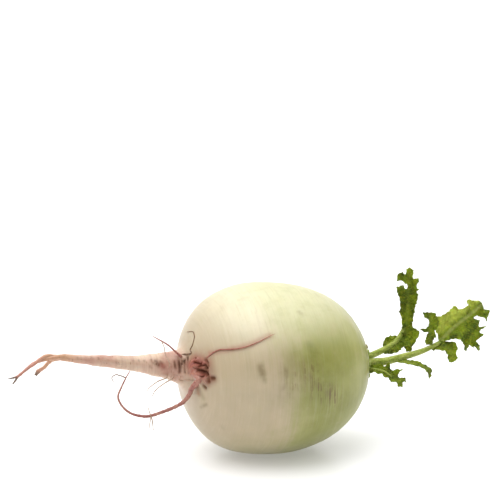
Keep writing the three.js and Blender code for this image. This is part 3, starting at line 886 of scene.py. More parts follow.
SIDE_ROOTS = {
    "side_root_long": {
        "route": [
            on_bulb(22, 84.5, 0.9), on_bulb(23.5, 89, 1.5), on_bulb(20.6, 97, 1.7), on_bulb(18, 108, 2.2),
            (-48.9, -15, 38.6), (-51.6, -14, 34.9), (-55.7, -13, 32.4), (-60.4, -11, 30.1),
            (-67.6, -8, 27.3), (-72.1, -5, 26.9), (-76.5, -2, 28.1), (-79.8, 1, 31.2), (-81, 4, 35.3),
            (-78.5, 7, 39), (-75.3, 9, 43.5), (-72.8, 10, 46.7),
        ],
        "radii": [1.7, 1.5, 1.2, 1.05, 0.95, 0.88, 0.8, 0.72, 0.62, 0.55, 0.47, 0.38, 0.2],
        "finish": "pink",
    },
    "side_root_on_bulb": {
        "route": [
            on_bulb(30, 61, 0.1), on_bulb(31.6, 60.2, 0.3), on_bulb(36.5, 57.7, 0.4),
            on_bulb(41.6, 57, 0.4), on_bulb(45.5, 58, 0.35), on_bulb(50.6, 59, 0.4),
            on_bulb(56.3, 59.4, 0.4), on_bulb(63.1, 58.5, 0.4), on_bulb(69.8, 56.3, 0.5),
            on_bulb(76.2, 53.5, 0.7), on_bulb(79, 52.8, 1.5),
        ],
        "radii": [0.38, 0.36, 0.34, 0.32, 0.32, 0.3, 0.27, 0.24, 0.18, 0.1],
        "finish": "red",
    },
    "side_root_upper": {
        "route": [
            (-50.2, -5.8, 56.4), (-51.6, -5.7, 57.8), (-53.1, -5, 59.2), (-56, -4, 62.2),
            (-58, -2.4, 63.6), (-61.1, 0, 65.4), (-63.2, 2, 66.6),
        ],
        "radii": [0.75, 0.55, 0.45, 0.42, 0.36, 0.3, 0.14],
        "finish": "pink",
    },
    "root_hair_squiggle": {
        "route": [
            on_bulb(8.5, 22, 3.4), on_bulb(11, 31, 2.3), on_bulb(13.8, 38.7, 1.2),
            on_bulb(15.9, 40.2, 0.6), on_bulb(15.4, 31.7, 0.6), on_bulb(19, 28.9, 0.5),
            on_bulb(22.7, 22.6, 0.5), on_bulb(23.9, 15.8, 0.5), on_bulb(24, 9.2, 0.5),
            on_bulb(21.4, -7.4, 0.8),
        ],
        "radii": [0.36, 0.34, 0.3, 0.3, 0.28, 0.26, 0.22, 0.12],
        "finish": "dark",
    },
    "root_hair_crossing": {
        "route": [
            (-59.4, -2.9, 64.2), (-59, -5.4, 62), (-58.9, -7, 58.8), (-57.7, -8.2, 55.9),
            (-57, -8.5, 53.6), (-57.8, -8.2, 51),
        ],
        "radii": [0.26, 0.24, 0.24, 0.22, 0.13],
        "finish": "pale",
    },
    "root_hair_under_a": {
        "route": [
            (-57.6, -5.9, 47.0), (-58.8, -7.2, 46.2), (-63.4, -8.2, 45.2), (-67.4, -8, 42.6),
            (-69.1, -8, 40.7),
        ],
        "radii": [0.36, 0.34, 0.3, 0.26, 0.14],
        "finish": "pale",
    },
    "root_hair_under_b": {
        "route": [
            (-54.6, -7.0, 46.4), (-56.6, -9.2, 46), (-61.4, -10.2, 44), (-65.4, -10.4, 41.2),
            (-67, -10.4, 38.4),
        ],
        "radii": [0.36, 0.34, 0.3, 0.26, 0.14],
        "finish": "pale",
        "branches": [
            [
                on_bulb(6.5, 120, 3.6), on_bulb(8.7, 110, 2.4), on_bulb(13.4, 97.5, 1.0),
                on_bulb(18, 92.5, 0.4), on_bulb(20, 91.4, 0.2),
            ],
        ],
    },
    "root_hair_low": {
        "route": [(-68.9, -8.4, 32.4), (-67.9, -8.6, 29.0), (-66.9, -9.2, 25.4), (-66.4, -9.6, 20)],
        "radii": [0.16, 0.26, 0.28, 0.14],
        "finish": "pale",
        "branches": [[(-67.4, -8.9, 27.2), (-68.0, -9.2, 24.6), (-68.4, -9.4, 21.0)]],
    },
    "root_hair_far": {
        "route": [
            (-75.4, 9.1, 43.4), (-76.8, 9.8, 44.2), (-78.6, 10.2, 44.8), (-80.3, 10.4, 45.3),
            (-82.4, 10.4, 43.9), (-81.4, 10.4, 41.1),
        ],
        "radii": [0.32, 0.3, 0.28, 0.26, 0.22, 0.12],
        "finish": "dark",
    },
}

BRANCH_RADII = [0.22, 0.24, 0.22, 0.14]

FIBRE_SPACING = 0.5
FIBRE_KNOBBLINESS = 0.25

FIBRE_COLOURS = {           # main, light and dark
    "pink": ((0.29, 0.095, 0.075), (0.40, 0.19, 0.14), (0.13, 0.04, 0.03)),
    "red": ((0.27, 0.085, 0.055), (0.36, 0.16, 0.11), (0.12, 0.04, 0.025)),
    "dark": ((0.15, 0.08, 0.04), (0.22, 0.13, 0.08), (0.06, 0.03, 0.02)),
    "pale": ((0.38, 0.26, 0.18), (0.50, 0.38, 0.28), (0.20, 0.12, 0.08)),
}


def make_side_root(name, parts):
    """A side root or root hair with its branches, in one mesh."""
    fine = f"{name}_fine"
    seed = len(name)
    piece = tube(fine, parts["route"], parts["radii"], FIBRE_SPACING, FIBRE_KNOBBLINESS, seed)
    for route in parts.get("branches", []):
        branch = tube(f"{name}_branch", route, BRANCH_RADII, FIBRE_SPACING, FIBRE_KNOBBLINESS, seed)
        piece = join([piece, branch], fine)
    return piece


def fibre_finish(kind):
    """Skin of a thin root: mottled, with darker nodes along it."""
    main, light, dark = FIBRE_COLOURS[kind]
    skin = Finish(f"fibre_{kind}")
    broad = skin.noise(160, 3, 0.6)
    fine = skin.noise(1100, 3, 0.6)
    colour = skin.mix(skin.range(broad, 0.35, 0.65), main, light)
    colour = skin.mix(skin.range(fine, 0.55, 0.72, 0, 0.7), colour, dark)
    relief = skin.bump(fine, 0.15 * MM, 0.6)
    return skin.finish(colour, skin.range(fine, 0.3, 0.7, 0.45, 0.7), relief, subsurface=0.1)


# ---------- leaves ----------

TOWARDS_FRONT = (-0.33, -0.9, 0.27)
TOWARDS_BACK = (0.33, 0.9, -0.27)
CELL = 0.9                  # size of the cells that a blade is cut into
RIM_STEP = 0.35
TOOTH_PITCH = 2.4
VEIN_PITCH = 4.2
VEIN_SLANT = 0.8            # how far the side veins run forward for each step out from the midrib
MARGIN_WIDTH = 2.4          # how far in from the rim the frill dies out
STIFF_WIDTH = 2.2           # how far out from the midrib the blade stays stiff
BLADE_THICKNESS = 0.34
STALK_SIDES = 20
STALK_GROOVE = 0.3
STALK_SPACING = 0.7
UV_SPAN = 50.0              # millimetres that a blade's UV square stands for
UV_START = (0.2, 0.5)       # where the midrib's root end lies in that square


def toothed(outline, depth, pitch, seed):
    """A closed outline with blunt teeth along it."""
    line = evenly(np.vstack([curve_through(outline, closed=True, steps=10), outline[0]]), RIM_STEP)[:-1]
    ahead, behind = np.roll(line, -1, axis=0), np.roll(line, 1, axis=0)
    heading = ahead - behind
    heading /= np.linalg.norm(heading, axis=1)[:, None]
    area = 0.5 * np.sum(line[:, 0] * ahead[:, 1] - ahead[:, 0] * line[:, 1])
    outward = np.column_stack([heading[:, 1], -heading[:, 0]]) * (1 if area > 0 else -1)
    run = np.arange(len(line)) * RIM_STEP
    drift = np.array([lumps_at(place * 0.25, seed, 0) for place in run])
    wave = np.abs(np.sin(math.pi * (run / pitch + drift * 0.8)))
    strength = 0.6 + 0.4 * np.array([lumps_at(place * 0.12, seed + 7, 0) for place in run])
    return line + outward * ((wave - 0.5) * depth * strength)[:, None]


def flat_blade(name, rim):
    """A disc whose rim is moved to the outline, cut into cells so that it can bend."""
    bpy.ops.object.select_all(action="DESELECT")
    bpy.ops.mesh.primitive_circle_add(vertices=len(rim), radius=1, fill_type="NGON")
    piece = bpy.context.object
    piece.name = name
    for vertex, (s, y) in zip(piece.data.vertices, rim):
        vertex.co = (s, y, 0)
    low, high = rim.min(axis=0), rim.max(axis=0)
    cuts = []
    for axis, normal in enumerate((Vector((1, 0, 0)), Vector((0, 1, 0)))):
        for place in np.arange(low[axis] + CELL / 2, high[axis], CELL):
            cuts.append((bpy.ops.mesh.bisect, {"plane_co": normal * place, "plane_no": normal}))
    edit(piece, *cuts)
    return piece


def blade_map(piece):
    """The UV map of a leaf's part, under the one name that its material reads."""
    layer = piece.data.uv_layers[0] if piece.data.uv_layers else piece.data.uv_layers.new(name="blade")
    layer.name = "blade"
    return layer


def lay_blade(piece, rim, route, face, cup, frill, frill_pitch, crumple, seed):
    """Lays a flat blade along its midrib, waves its margins and crumples it between its veins."""
    flat = vertex_places(piece)
    layer = blade_map(piece)
    for loop in piece.data.loops:
        s, y, _ = flat[loop.vertex_index]
        layer.data[loop.index].uv = (s / UV_SPAN + UV_START[0], y / UV_SPAN + UV_START[1])
    gaps = np.linalg.norm(flat[:, None, :2] - rim[None, :, :], axis=2)
    run = gaps.argmin(axis=1) * RIM_STEP
    to_rim = gaps.min(axis=1)
    face = np.array(face, float)
    laid = np.empty_like(flat)
    for i, (s, y, _) in enumerate(flat):
        centre, forward = route.at(s), route.heading(s)
        side = np.cross(face, forward)
        side /= np.linalg.norm(side)
        upward = np.cross(forward, side)
        margin = math.exp(-to_rim[i] / MARGIN_WIDTH)
        away = min(1.0, abs(y) / STIFF_WIDTH)
        wave = math.sin(2 * math.pi * run[i] / frill_pitch + seed) + 0.7 * lumps_at(run[i] * 0.2, seed, 1)
        veins = abs(math.sin(math.pi * (s - VEIN_SLANT * abs(y)) / VEIN_PITCH))
        folds = lumps_at(s * 0.3, y * 0.3, seed) + 0.6 * lumps_at(s * 0.55, y * 0.55, seed + 3)
        lift = cup * y * y / 10 + frill * wave * margin * away
        lift += crumple * (1.5 * folds + 0.8 * (veins ** 0.6 - 0.6)) * (0.25 + 0.75 * away)
        lift += 1.1 * lumps_at(s * 0.13, y * 0.13, seed + 5) * away
        lift -= 0.4 * math.exp(-(y / 0.8) ** 2)
        laid[i] = centre + side * y + upward * lift
    move_vertices(piece, laid * MM)


def blade(name, outline, midrib, face=TOWARDS_FRONT, stretch=1.0, shift=0.0, turn=0.0, cup=0.0, frill=1.0,
          frill_pitch=6.0, crumple=0.6, teeth=0.8, rib=0.3, seed=1.0):
    """One blade or lobe of a leaf, whose outline lies at a turn, in degrees, from its midrib."""
    cos_turn, sin_turn = math.cos(math.radians(turn)), math.sin(math.radians(turn))
    turned = [
        ((s * cos_turn - y * sin_turn) * stretch + shift, s * sin_turn + y * cos_turn) for s, y in outline
    ]
    rim = toothed(turned, teeth, TOOTH_PITCH, seed)
    piece = flat_blade(name, rim)
    lay_blade(piece, rim, Route(midrib), face, cup, frill, frill_pitch, crumple, seed)
    modify(piece, "SOLIDIFY", thickness=BLADE_THICKNESS * MM, offset=0)
    modify(piece, "SUBSURF", levels=1, render_levels=1)
    keep_at_vertices(piece, "stalk", 0.0)
    keep_at_vertices(piece, "rib", rib)
    return piece


def stalk(name, route, radii):
    """A leaf stalk, channelled along its upper side."""
    section = bpy.data.curves.new("section", "CURVE")
    section.dimensions = "2D"
    ring = section.splines.new("POLY")
    ring.use_cyclic_u = True
    ring.points.add(STALK_SIDES - 1)
    for i, point in enumerate(ring.points):
        angle = 2 * math.pi * i / STALK_SIDES
        reach = (1 - STALK_GROOVE * max(0.0, math.sin(angle)) ** 6) * MM
        point.co = (reach * math.cos(angle), reach * math.sin(angle), 0, 1)
    section_object = bpy.data.objects.new("section", section)
    bpy.context.scene.collection.objects.link(section_object)
    line = evenly(curve_through(route), STALK_SPACING)
    data = bpy.data.curves.new(name, "CURVE")
    data.dimensions = "3D"
    data.twist_mode = "Z_UP"
    data.bevel_mode = "OBJECT"
    data.bevel_object = section_object
    data.use_fill_caps = True
    spline = data.splines.new("POLY")
    spline.points.add(len(line) - 1)
    for i, (point, place) in enumerate(zip(spline.points, line)):
        point.co = (*(place * MM), 1)
        point.radius = along(radii, i / (len(line) - 1))
    piece = mesh_from_curve(name, data)
    bpy.data.objects.remove(section_object)
    close_up(piece)
    return piece


LEAVES = {
    "leaf_big": {
        "stalk": [
            (53.2, -0.2, 40.8), (55.4, -0.9, 41.5), (58.8, -2, 42.3), (63.7, -4, 42.9), (69, -5.4, 44.1),
            (73.9, -7, 45.5), (79.2, -8, 46.8), (84.5, -9, 48.5), (89.9, -10, 51), (95.2, -10.6, 53.6),
            (101, -11, 56.0),
        ],
        "radii": [2.6, 2.45, 2.25, 2.05, 1.9, 1.7, 1.45, 1.2, 0.9, 0.5],
        "blades": [
            {
                "outline": [
                    (-1, -1), (0.5, 3), (0.5, 6.4), (3, 11.6), (6.4, 11.2), (10.3, 11.7), (13.7, 13.2),
                    (15.2, 11), (18.8, 10.4), (21, 11.5), (22.6, 13.8), (24, 11.6), (26.4, 12.2),
                    (28.6, 8), (29.7, 4), (28.8, 1.4), (26.9, -0.8), (26, 2.4), (23.2, 4), (20.9, 3.7),
                    (23.4, 1.7), (22.4, 0.2), (22.5, -1.8), (26, -2.7), (22.1, -4), (22.3, -6.7),
                    (19.3, -7.9), (18.7, -9.8), (19.8, -12.9), (17.2, -13.4), (16.5, -10.5),
                    (14.6, -11.4), (13.2, -9.3), (10.2, -11.3), (8.8, -10.3), (10.3, -8.1), (9.8, -5.1),
                    (8.2, -3.3), (4, -1.7),
                ],
                "midrib": [
                    (92.3, -11, 53.1), (96.6, -11.5, 57.4), (101.2, -12, 61.4), (106.4, -12, 64.8),
                    (112.6, -11, 68.4),
                ],
                # A rib above 0.5 also turns on painted light on one side of this blade.
                "turn": -17, "stretch": 1.04, "cup": -0.14, "frill": 2.2, "frill_pitch": 6.5,
                "crumple": 1.0, "rib": 0.8, "seed": 1.0,
            },
            {
                "outline": [
                    (0, 1.6), (4.4, 1.8), (6.4, 1.0), (7.4, 4.6), (8.9, 4.7), (9.2, 1.6), (10.5, 1.0),
                    (13.7, 1.0), (14.8, 2.8), (16.8, 4.2), (17.9, 2.6), (17.4, 0.4), (18.2, -1.9),
                    (16, -2.9), (13.7, -4.2), (11, -4), (8.8, -3), (6.6, -2.4), (5, -3.5), (2.8, -2.4),
                    (0, -1.2),
                ],
                "midrib": [(86.4, -9.4, 51.4), (87, -9.5, 59.3), (86.9, -10, 66), (87.1, -10.4, 70)],
                "cup": 0.5, "frill": 1.2, "frill_pitch": 4.6, "crumple": 0.8, "rib": 0.1, "seed": 2.0,
            },
            {
                "outline": [
                    (-0.5, -1), (3.5, -1.7), (9.5, -2.5), (13, -2.3), (15.4, -1.7), (16.9, 0),
                    (15.2, 2.3), (13.6, 3.1), (12.2, 1.9), (11.5, 3.7), (10, 4.6), (8.4, 4.1), (6, 3.2),
                    (2.5, 1.7), (-0.5, 1),
                ],
                "midrib": [
                    (88.4, -9.5, 49.3), (92, -11.6, 50.1), (95.5, -13.2, 49.4), (97.6, -14.6, 46.6),
                    (96.8, -15.4, 43.2),
                ],
                "face": (-0.3, -0.8, 0.5), "cup": 0.6, "frill": 1.1, "frill_pitch": 4.4, "crumple": 0.8,
                "rib": 0.15, "seed": 3.0,
            },
            {
                "outline": [
                    (-1.5, -0.8), (3, -1.0), (8, -1.3), (12, -1.3), (15.4, -1.3), (17.6, -2.0),
                    (19.6, -1.6), (21.6, -1.2), (24, -0.4), (22.4, 0.9), (20.8, 0.9), (19.6, 2.0),
                    (18.0, 1.4), (15, 1.4), (11, 1.6), (7.4, 1.3), (5, 1.8), (3, 1.0), (-1, 0.8),
                ],
                "midrib": [
                    (68.9, -6.6, 43.6), (75.2, -11.6, 42.9), (81.1, -13, 40.9), (85, -13.5, 38.5),
                    (85.5, -14, 34.2),
                ],
                "face": (0.0, -0.7, 0.7), "cup": 0.9, "frill": 0.4, "frill_pitch": 4.0, "crumple": 0.3,
                "teeth": 0.6, "rib": 0.25, "seed": 4.0,
            },
        ],
    },
    "leaf_upright": {
        "stalk": [
            (52.8, 3.0, 42.0), (54.5, 3.6, 42.7), (59.6, 4.8, 44.2), (64.6, 5.4, 45.6), (70.9, 6, 48.0),
            (75.5, 6.4, 51.4), (78.3, 7, 55.2), (80.2, 7.4, 60), (80.9, 7.4, 66),
        ],
        "radii": [2.0, 1.95, 1.85, 1.75, 1.6, 1.4, 1.0, 0.6, 0.3],
        "blades": [
            {
                "outline": [
                    (-1.5, 1.6), (2.6, 2.2), (6.8, 2.4), (11, 3.6), (12.4, 4.9), (13.8, 4.2), (18.3, 4.4),
                    (23.4, 5.9), (26, 6.4), (26.7, 4.6), (26.2, 2.8), (24.4, 2), (24.4, 0.6), (26, 0.2),
                    (27.6, 1.6), (28.8, 3.6), (29, 6), (31, 6.6), (33.6, 5.4), (33.4, 4), (32, 2.8),
                    (32, 1.8), (34.4, 1.9), (35.8, 0.2), (34.4, -1.9), (31, -1.9), (30, -3.4),
                    (31.2, -4.8), (28.8, -5.2), (26.8, -4.2), (24.6, -5.8), (23.4, -4.5), (21.4, -5.3),
                    (18.2, -4.5), (12.6, -3.6), (7, -3.2), (5.2, -3.5), (3.8, -5.9), (2, -7.3),
                    (0.6, -6.2), (-1.8, -6.6), (-3.8, -4.4), (-5.2, -2), (-4.4, 0.4),
                ],
                "midrib": [
                    (76.4, 5.6, 50.2), (79.5, 6, 53.3), (80, 6, 58.8), (80.5, 6, 64.3), (80.9, 6, 72.5),
                    (80.7, 5.6, 80.8), (81.1, 4.6, 90),
                ],
                "stretch": 1.05, "shift": 4.2, "cup": 0.8, "frill": 1.4, "frill_pitch": 5.0,
                "crumple": 0.95, "rib": 0.12, "seed": 5.0,
            },
            {
                "outline": [
                    (-1, -1.2), (1.5, -2.6), (4, -2.8), (6, -2), (8, -0.6), (7.6, 1.2), (5, 2.0),
                    (2, 1.7), (-1, 1.4),
                ],
                "midrib": [(74.8, 6.8, 51.0), (71, 7.2, 50.0), (67.8, 7.4, 48.0)],
                "frill": 0.9, "frill_pitch": 4.0, "crumple": 0.5, "rib": 0.1, "seed": 6.0,
            },
            {
                "outline": [
                    (-0.5, -1.2), (2, -2.4), (5, -2.6), (8, -1.6), (9, 0.4), (7, 2.2), (3, 2.2),
                    (-0.5, 1.2),
                ],
                "midrib": [(77.4, 5.6, 51.6), (80.6, 4.8, 49.2), (80.2, 4.2, 45.2), (77, 4, 43.2)],
                "face": (-0.2, -0.8, 0.5), "frill": 0.8, "frill_pitch": 4.0, "crumple": 0.5, "rib": 0.1,
                "seed": 7.0,
            },
            {
                "outline": [
                    (-3.4, -0.6), (-3, -3.2), (0, -4.2), (3, -3.6), (6, -2.2), (8.4, -0.6), (6.8, 1.0),
                    (3, 1.4), (-1, 1),
                ],
                "midrib": [(73.8, 5.4, 49.0), (70.5, 4.8, 46.9), (66.4, 4.4, 45.2)],
                "face": TOWARDS_BACK, "frill": 0.7, "frill_pitch": 3.4, "crumple": 0.6, "rib": 0.1,
                "seed": 11.0,
            },
        ],
    },
    "leaf_low": {
        "stalk": [
            (52.8, -3.0, 38.6), (54.3, -4.4, 39.2), (57.2, -8.6, 39.8), (60.4, -12, 39.2),
            (63, -14.4, 37.2),
        ],
        "radii": [1.6, 1.45, 1.2, 0.8, 0.35],
        "blades": [
            {
                "outline": [
                    (-1, -1.8), (3, -2.2), (8, -2.6), (12, -2.6), (15.5, -3.0), (18, -1.6), (19.6, -2.4),
                    (21, -0.6), (19.4, 0.8), (21, 2.0), (19, 3.2), (16.8, 2.2), (15.2, 2.4), (15.4, 5.2),
                    (13, 3.6), (10, 3.0), (8.4, 4.4), (7.4, 2.8), (4, 2.6), (0, 1.8),
                ],
                "midrib": [
                    (54.6, -5.4, 39.6), (58.0, -9.6, 40.0), (60.9, -12, 38.9), (64.9, -16, 36.0),
                    (68.2, -19, 32.8),
                ],
                "face": (-0.1, -0.75, 0.66), "cup": 1.3, "frill": 0.9, "frill_pitch": 4.5, "crumple": 0.7,
                "rib": 0.08, "seed": 8.0,
            },
        ],
    },
    "leaf_heart_a": {
        "stalk": [(53.0, 0.8, 37.4), (54.4, 1.2, 37.2), (56.6, 2, 37), (58.6, 3.4, 37.6)],
        "radii": [1.0, 0.9, 0.8, 0.4],
        "blades": [
            {
                "outline": [
                    (-0.5, -0.6), (2, -1.5), (4.5, -1.8), (6.6, -0.8), (7, 0.4), (5, 1.8), (2.4, 1.6),
                    (-0.5, 0.6),
                ],
                "midrib": [(55.4, 1.6, 37), (57, 2.2, 37), (58.8, 3.6, 37.8), (60, 5.2, 39.2)],
                "face": (-0.4, 0.6, 0.7), "frill": 0.4, "frill_pitch": 3.0, "crumple": 0.25, "teeth": 0.4,
                "seed": 9.0,
            },
        ],
    },
    "leaf_heart_b": {
        "stalk": [(52.6, 2.6, 35.6), (54.2, 3.4, 35), (56, 4.8, 34.6), (57.2, 6.4, 35)],
        "radii": [0.9, 0.8, 0.7, 0.35],
        "blades": [
            {
                "outline": [
                    (-0.5, -0.5), (1.8, -1.3), (4, -1.6), (6, -0.7), (6.4, 0.4), (4.4, 1.5), (2, 1.3),
                    (-0.5, 0.5),
                ],
                "midrib": [(55, 4.1, 34.9), (56.2, 5.2, 34.6), (57.4, 6.8, 35), (58, 8.6, 36)],
                "face": (-0.5, 0.4, 0.75), "frill": 0.4, "frill_pitch": 3.0, "crumple": 0.25,
                "teeth": 0.4, "seed": 10.0,
            },
        ],
    },
}


def make_leaf(name, leaf):
    """A whole leaf: its stalk and its blade's lobes in one mesh."""
    stem = stalk(f"{name}_stalk", leaf["stalk"], leaf["radii"])
    keep_at_vertices(stem, "stalk", 1.0)
    keep_at_vertices(stem, "rib", 0.0)
    blade_map(stem)
    blades = [blade(f"{name}_blade_{number}", **lobe) for number, lobe in enumerate(leaf["blades"])]
    piece = join([stem, *blades], f"{name}_fine")
    smooth(piece)
    return piece


LEAF_DARK, LEAF_GREEN, LEAF_BLOTCH = (0.046, 0.088, 0.002), (0.19, 0.28, 0.006), (0.38, 0.48, 0.03)
# The first is painted light for the lit side of the big blade.
LEAF_PAINTED_LIGHT, MIDRIB_GREEN = (0.56, 0.65, 0.09), (0.36, 0.43, 0.10)
NET_VEIN, SIDE_VEIN = (0.38, 0.46, 0.06), (0.42, 0.51, 0.07)
STALK_PALE, STALK_GREEN, STALK_TAN = (0.47, 0.53, 0.13), (0.28, 0.36, 0.05), (0.36, 0.30, 0.10)


def leaf_finish():
    """Olive green blade with paler veins, painted light on one side of the big blade, and a pale
    yellow-green stalk.
    """
    skin = Finish("radish_leaf")
    across = skin.split(skin.uv())
    s = skin.times(skin.minus(across[0], UV_START[0]), UV_SPAN)
    y = skin.times(skin.minus(across[1], UV_START[1]), UV_SPAN)
    from_midrib = skin.math("ABSOLUTE", y)
    broad = skin.noise(150, 4, 0.6)
    blotch = skin.noise(420, 4, 0.65)
    grain = skin.noise(2600, 2, 0.5)
    wobble = skin.times(skin.minus(blotch, 0.5), 1.6)
    slant = skin.minus(s, skin.times(from_midrib, VEIN_SLANT))
    slant = skin.plus(slant, wobble)
    side_vein = skin.math("ABSOLUTE", skin.math("SINE", skin.times(slant, math.pi / VEIN_PITCH)))
    side_vein = skin.range(side_vein, 0.0, 0.17, 1.0, 0.0)
    small_vein = skin.range(skin.from_cell_edge(700), 0.0, 0.09, 1.0, 0.0)
    rib = skin.attribute("rib")
    midrib = skin.times(skin.range(from_midrib, 0.3, 1.5, 1.0, 0.0), rib)

    blade_colour = skin.mix(skin.range(broad, 0.34, 0.62), LEAF_DARK, LEAF_GREEN)
    blade_colour = skin.mix(skin.range(blotch, 0.50, 0.68, 0, 0.6), blade_colour, LEAF_BLOTCH)
    # Painted light: one side of the big blade's midrib is lighter yellow-green.
    painted_light_side = skin.times(skin.range(y, 0.5, 4.0), skin.range(rib, 0.5, 0.8))
    blade_colour = skin.mix(skin.times(painted_light_side, 0.6), blade_colour, LEAF_PAINTED_LIGHT)
    blade_colour = skin.mix(skin.times(small_vein, 0.25), blade_colour, NET_VEIN)
    blade_colour = skin.mix(skin.times(side_vein, 0.55), blade_colour, SIDE_VEIN)
    blade_colour = skin.mix(midrib, blade_colour, MIDRIB_GREEN)
    lines = skin.noise(1.0, 3, 0.6, skin.placed((90, 900, 900)))
    stalk_colour = skin.mix(skin.range(lines, 0.35, 0.65), STALK_PALE, STALK_GREEN)
    stalk_colour = skin.mix(skin.range(blotch, 0.58, 0.75, 0, 0.4), stalk_colour, STALK_TAN)
    colour = skin.mix(skin.attribute("stalk"), blade_colour, stalk_colour)

    relief = skin.bump(skin.plus(side_vein, skin.times(midrib, 1.5)), 0.5 * MM, 0.7)
    relief = skin.bump(blotch, 2.6 * MM, 0.9, under=relief)
    relief = skin.bump(small_vein, 0.2 * MM, 0.6, under=relief)
    relief = skin.bump(grain, 0.05 * MM, 0.4, under=relief)
    rough = skin.range(blotch, 0.3, 0.7, 0.5, 0.65)
    return skin.finish(colour, rough, relief, subsurface=0.08, specular=0.2)


# ---------- cut stalk stubs round the crown ----------

STUB_LENGTHS = [3.2, 3.4, 1.5, 1.0, 1.0, 1.2, 1.6, 2.4]
STUB_COUNT = len(STUB_LENGTHS)
STUB_RADIUS = 1.35
STUB_RING_RADIUS = 8.6
STUB_FOOT = CROWN_HALF - 0.7
STUB_SUNK = 1.4             # extra length that stands in the crown
STUB_SPLAY = 0.05           # how much the ring widens for each millimetre of length
STUB_CELL = 0.7
STUB_PALE, STUB_GREEN = (0.42, 0.48, 0.14), (0.26, 0.33, 0.07)
STRAW, DRY_BROWN = (0.52, 0.42, 0.20), (0.24, 0.16, 0.06)


def in_crown_ring(along_axis, radius, turn):
    """A place in a ring round the bulb's axis, where the bulb lies."""
    return Vector(from_bulb(along_axis, radius * math.cos(turn), radius * math.sin(turn)))


def make_stub(number):
    """A short stalk end: a rod with a hollow, dried cut, set on the crown with a slight splay."""
    length = STUB_LENGTHS[number]
    depth = length + STUB_SUNK
    bpy.ops.object.select_all(action="DESELECT")
    bpy.ops.mesh.primitive_cylinder_add(vertices=20, radius=STUB_RADIUS * MM, depth=depth * MM)
    piece = bpy.context.object
    piece.name = f"stalk_stub_{number + 1}_fine"
    cut_middle = Vector((0, 0, depth / 2 * MM))
    edit_near(piece, cut_middle, 0.1 * MM, bpy.ops.mesh.inset, thickness=0.3 * MM)
    edit_near(piece, cut_middle, 0.1 * MM, bpy.ops.mesh.inset, thickness=0.25 * MM, depth=-0.5 * MM)
    for step in range(1, int(length / STUB_CELL)):
        height = length / 2 - 0.2 - step * STUB_CELL
        edit(piece, (bpy.ops.mesh.bisect, {"plane_co": (0, 0, height * MM), "plane_no": (0, 0, 1)}))
    turn = (number + 0.5) / STUB_COUNT * 2 * math.pi
    foot = in_crown_ring(STUB_FOOT, STUB_RING_RADIUS, turn)
    top = in_crown_ring(STUB_FOOT + length + 0.3, STUB_RING_RADIUS * (1 + length * STUB_SPLAY), turn)
    direction = (top - foot).normalized()
    stand = direction.to_track_quat("Z", "Y").to_matrix().to_4x4()
    piece.data.transform(Matrix.Translation((top - direction * depth / 2) * MM) @ stand)
    push_out(piece, noise_at(vertex_places(piece) / MM, 1.1, seed=number + 20) * 0.22)
    modify(piece, "SUBSURF", levels=1, render_levels=1)
    smooth(piece)
    return piece


def stub_finish():
    """Drying stalk: green at the foot, straw-brown and ragged at the cut."""
    skin = Finish("dried_stalk")
    x, _, _ = skin.split(skin.object_places)
    lines = skin.noise(1.0, 3, 0.6, skin.placed((120, 1100, 1100)))
    mottle = skin.noise(600, 3, 0.6)
    green = skin.mix(skin.range(lines, 0.35, 0.65), STUB_PALE, STUB_GREEN)
    dry = skin.mix(skin.range(mottle, 0.35, 0.65), STRAW, DRY_BROWN)
    ageing = skin.plus(x, skin.times(skin.minus(mottle, 0.5), 0.004))
    colour = skin.mix(skin.range(ageing, 0.0545, 0.057), green, dry)
    relief = skin.bump(lines, 0.2 * MM, 0.5)
    return skin.finish(colour, skin.range(mottle, 0.3, 0.7, 0.55, 0.75), relief)


# ---------- putting the radish together ----------

def add_to_frame(piece, node):
    """Puts a finished piece in the frame in place of its CAD node."""
    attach(piece, "root")
    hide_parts(node)


root = make_root()
add_to_frame(root, "root")

fibre_materials = {kind: fibre_finish(kind) for kind in FIBRE_COLOURS}
for node, parts in SIDE_ROOTS.items():
    fibre = make_side_root(node, parts)
    fibre.data.materials.append(fibre_materials[parts["finish"]])
    add_to_frame(fibre, node)

leaf_material = leaf_finish()
for node, leaf in LEAVES.items():
    fine_leaf = make_leaf(node, leaf)
    fine_leaf.data.materials.clear()
    fine_leaf.data.materials.append(leaf_material)
    add_to_frame(fine_leaf, node)

stub_material = stub_finish()
for stub_number in range(STUB_COUNT):
    stub = make_stub(stub_number)
    stub.data.materials.append(stub_material)
    add_to_frame(stub, f"stalk_stub_{stub_number + 1}")


# ---------- floor, light and camera ----------

VIEW_AZIMUTH = math.radians(-20)
VIEW_ELEVATION = math.radians(16)
VIEW_DISTANCE = 1.0
LENS = 137.7
SENSOR = 36.0
AIM_LEFT = 0.0105           # the camera aims this far to the left of the bulb's middle
AIM_ABOVE = 0.0615          # and this far above it
LIGHTS_AIM = (0, 0, 0.04)
FLOOR_SIZE = 12
FLOOR_GLOW = 0.26
ROOM_FRONT = 0.13
ROOM_BACK = 1.0


def add_floor():
    """A wide, pale floor that glows a little, so that it stays near white."""
    bpy.ops.object.select_all(action="DESELECT")
    bpy.ops.mesh.primitive_plane_add(size=FLOOR_SIZE)
    floor = bpy.context.object
    floor.name = "floor"
    white = Finish("white_floor")
    haze = white.noise(6, 2, 0.5)
    colour = white.mix(white.range(haze, 0.3, 0.7), (0.73, 0.73, 0.73), (0.75, 0.75, 0.75))
    white.shader.inputs["Emission Color"].default_value = (1, 1, 1, 1)
    white.shader.inputs["Emission Strength"].default_value = FLOOR_GLOW
    floor.data.materials.append(white.finish(colour, 0.24, specular=0.3))


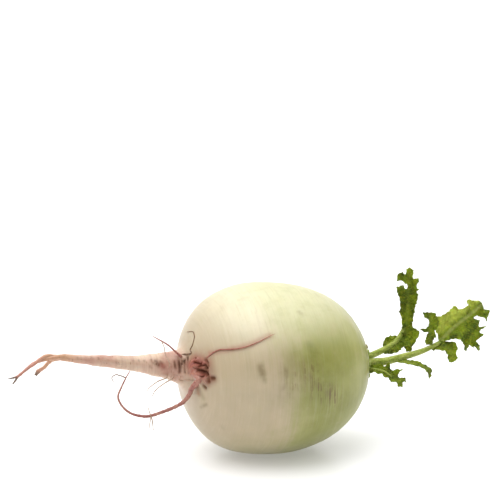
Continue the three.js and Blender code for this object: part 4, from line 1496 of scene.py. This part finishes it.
def add_sun(name, place, energy, spread):
    """A wide soft light from the side of a place, whose disc is spread degrees across."""
    light = bpy.data.lights.new(name, "SUN")
    light.energy = energy
    light.angle = math.radians(spread)
    lamp = bpy.data.objects.new(name, light)
    lamp.location = place
    lamp.rotation_euler = (Vector(LIGHTS_AIM) - Vector(place)).to_track_quat("-Z", "Y").to_euler()
    bpy.context.scene.collection.objects.link(lamp)


def add_camera():
    """A camera with a long lens, in front of the radish and a little above it."""
    camera = bpy.data.cameras.new("camera")
    camera.lens = LENS
    camera.sensor_width = SENSOR
    camera.clip_start = 0.05
    camera.clip_end = 40
    right = Vector((math.cos(VIEW_AZIMUTH), math.sin(VIEW_AZIMUTH), 0))
    level_back = Vector((math.sin(VIEW_AZIMUTH), -math.cos(VIEW_AZIMUTH), 0))
    back = level_back * math.cos(VIEW_ELEVATION) + Vector((0, 0, math.sin(VIEW_ELEVATION)))
    above = back.cross(right)
    middle = Vector((0, 0, BULB_HEIGHT * MM))
    place = middle + back * VIEW_DISTANCE
    aim = middle - right * AIM_LEFT + above * AIM_ABOVE
    holder = bpy.data.objects.new("camera", camera)
    holder.location = place
    holder.rotation_euler = (aim - place).to_track_quat("-Z", "Y").to_euler()
    bpy.context.scene.collection.objects.link(holder)
    bpy.context.scene.camera = holder


def add_world():
    """A bright room that is dimmer on the camera's side."""
    world = bpy.data.worlds.new("studio")
    world.use_nodes = True
    nodes, links = world.node_tree.nodes, world.node_tree.links
    direction = nodes.new("ShaderNodeTexCoord").outputs["Generated"]
    parts = nodes.new("ShaderNodeSeparateXYZ")
    links.new(direction, parts.inputs[0])
    dimming = nodes.new("ShaderNodeMapRange")
    set_range(dimming, -0.5, 0.6, ROOM_FRONT, ROOM_BACK)
    links.new(parts.outputs[1], dimming.inputs["Value"])
    background = nodes["Background"]
    background.inputs["Color"].default_value = (1, 1, 1, 1)
    links.new(dimming.outputs["Result"], background.inputs["Strength"])
    bpy.context.scene.world = world


add_floor()
add_world()
add_sun("overhead", (-0.1, 0.0, 1.0), 2.2, 110)
add_sun("softbox", (-0.26, -0.03, 0.96), 1.5, 50)
add_camera()
bpy.context.scene.view_settings.view_transform = "Standard"
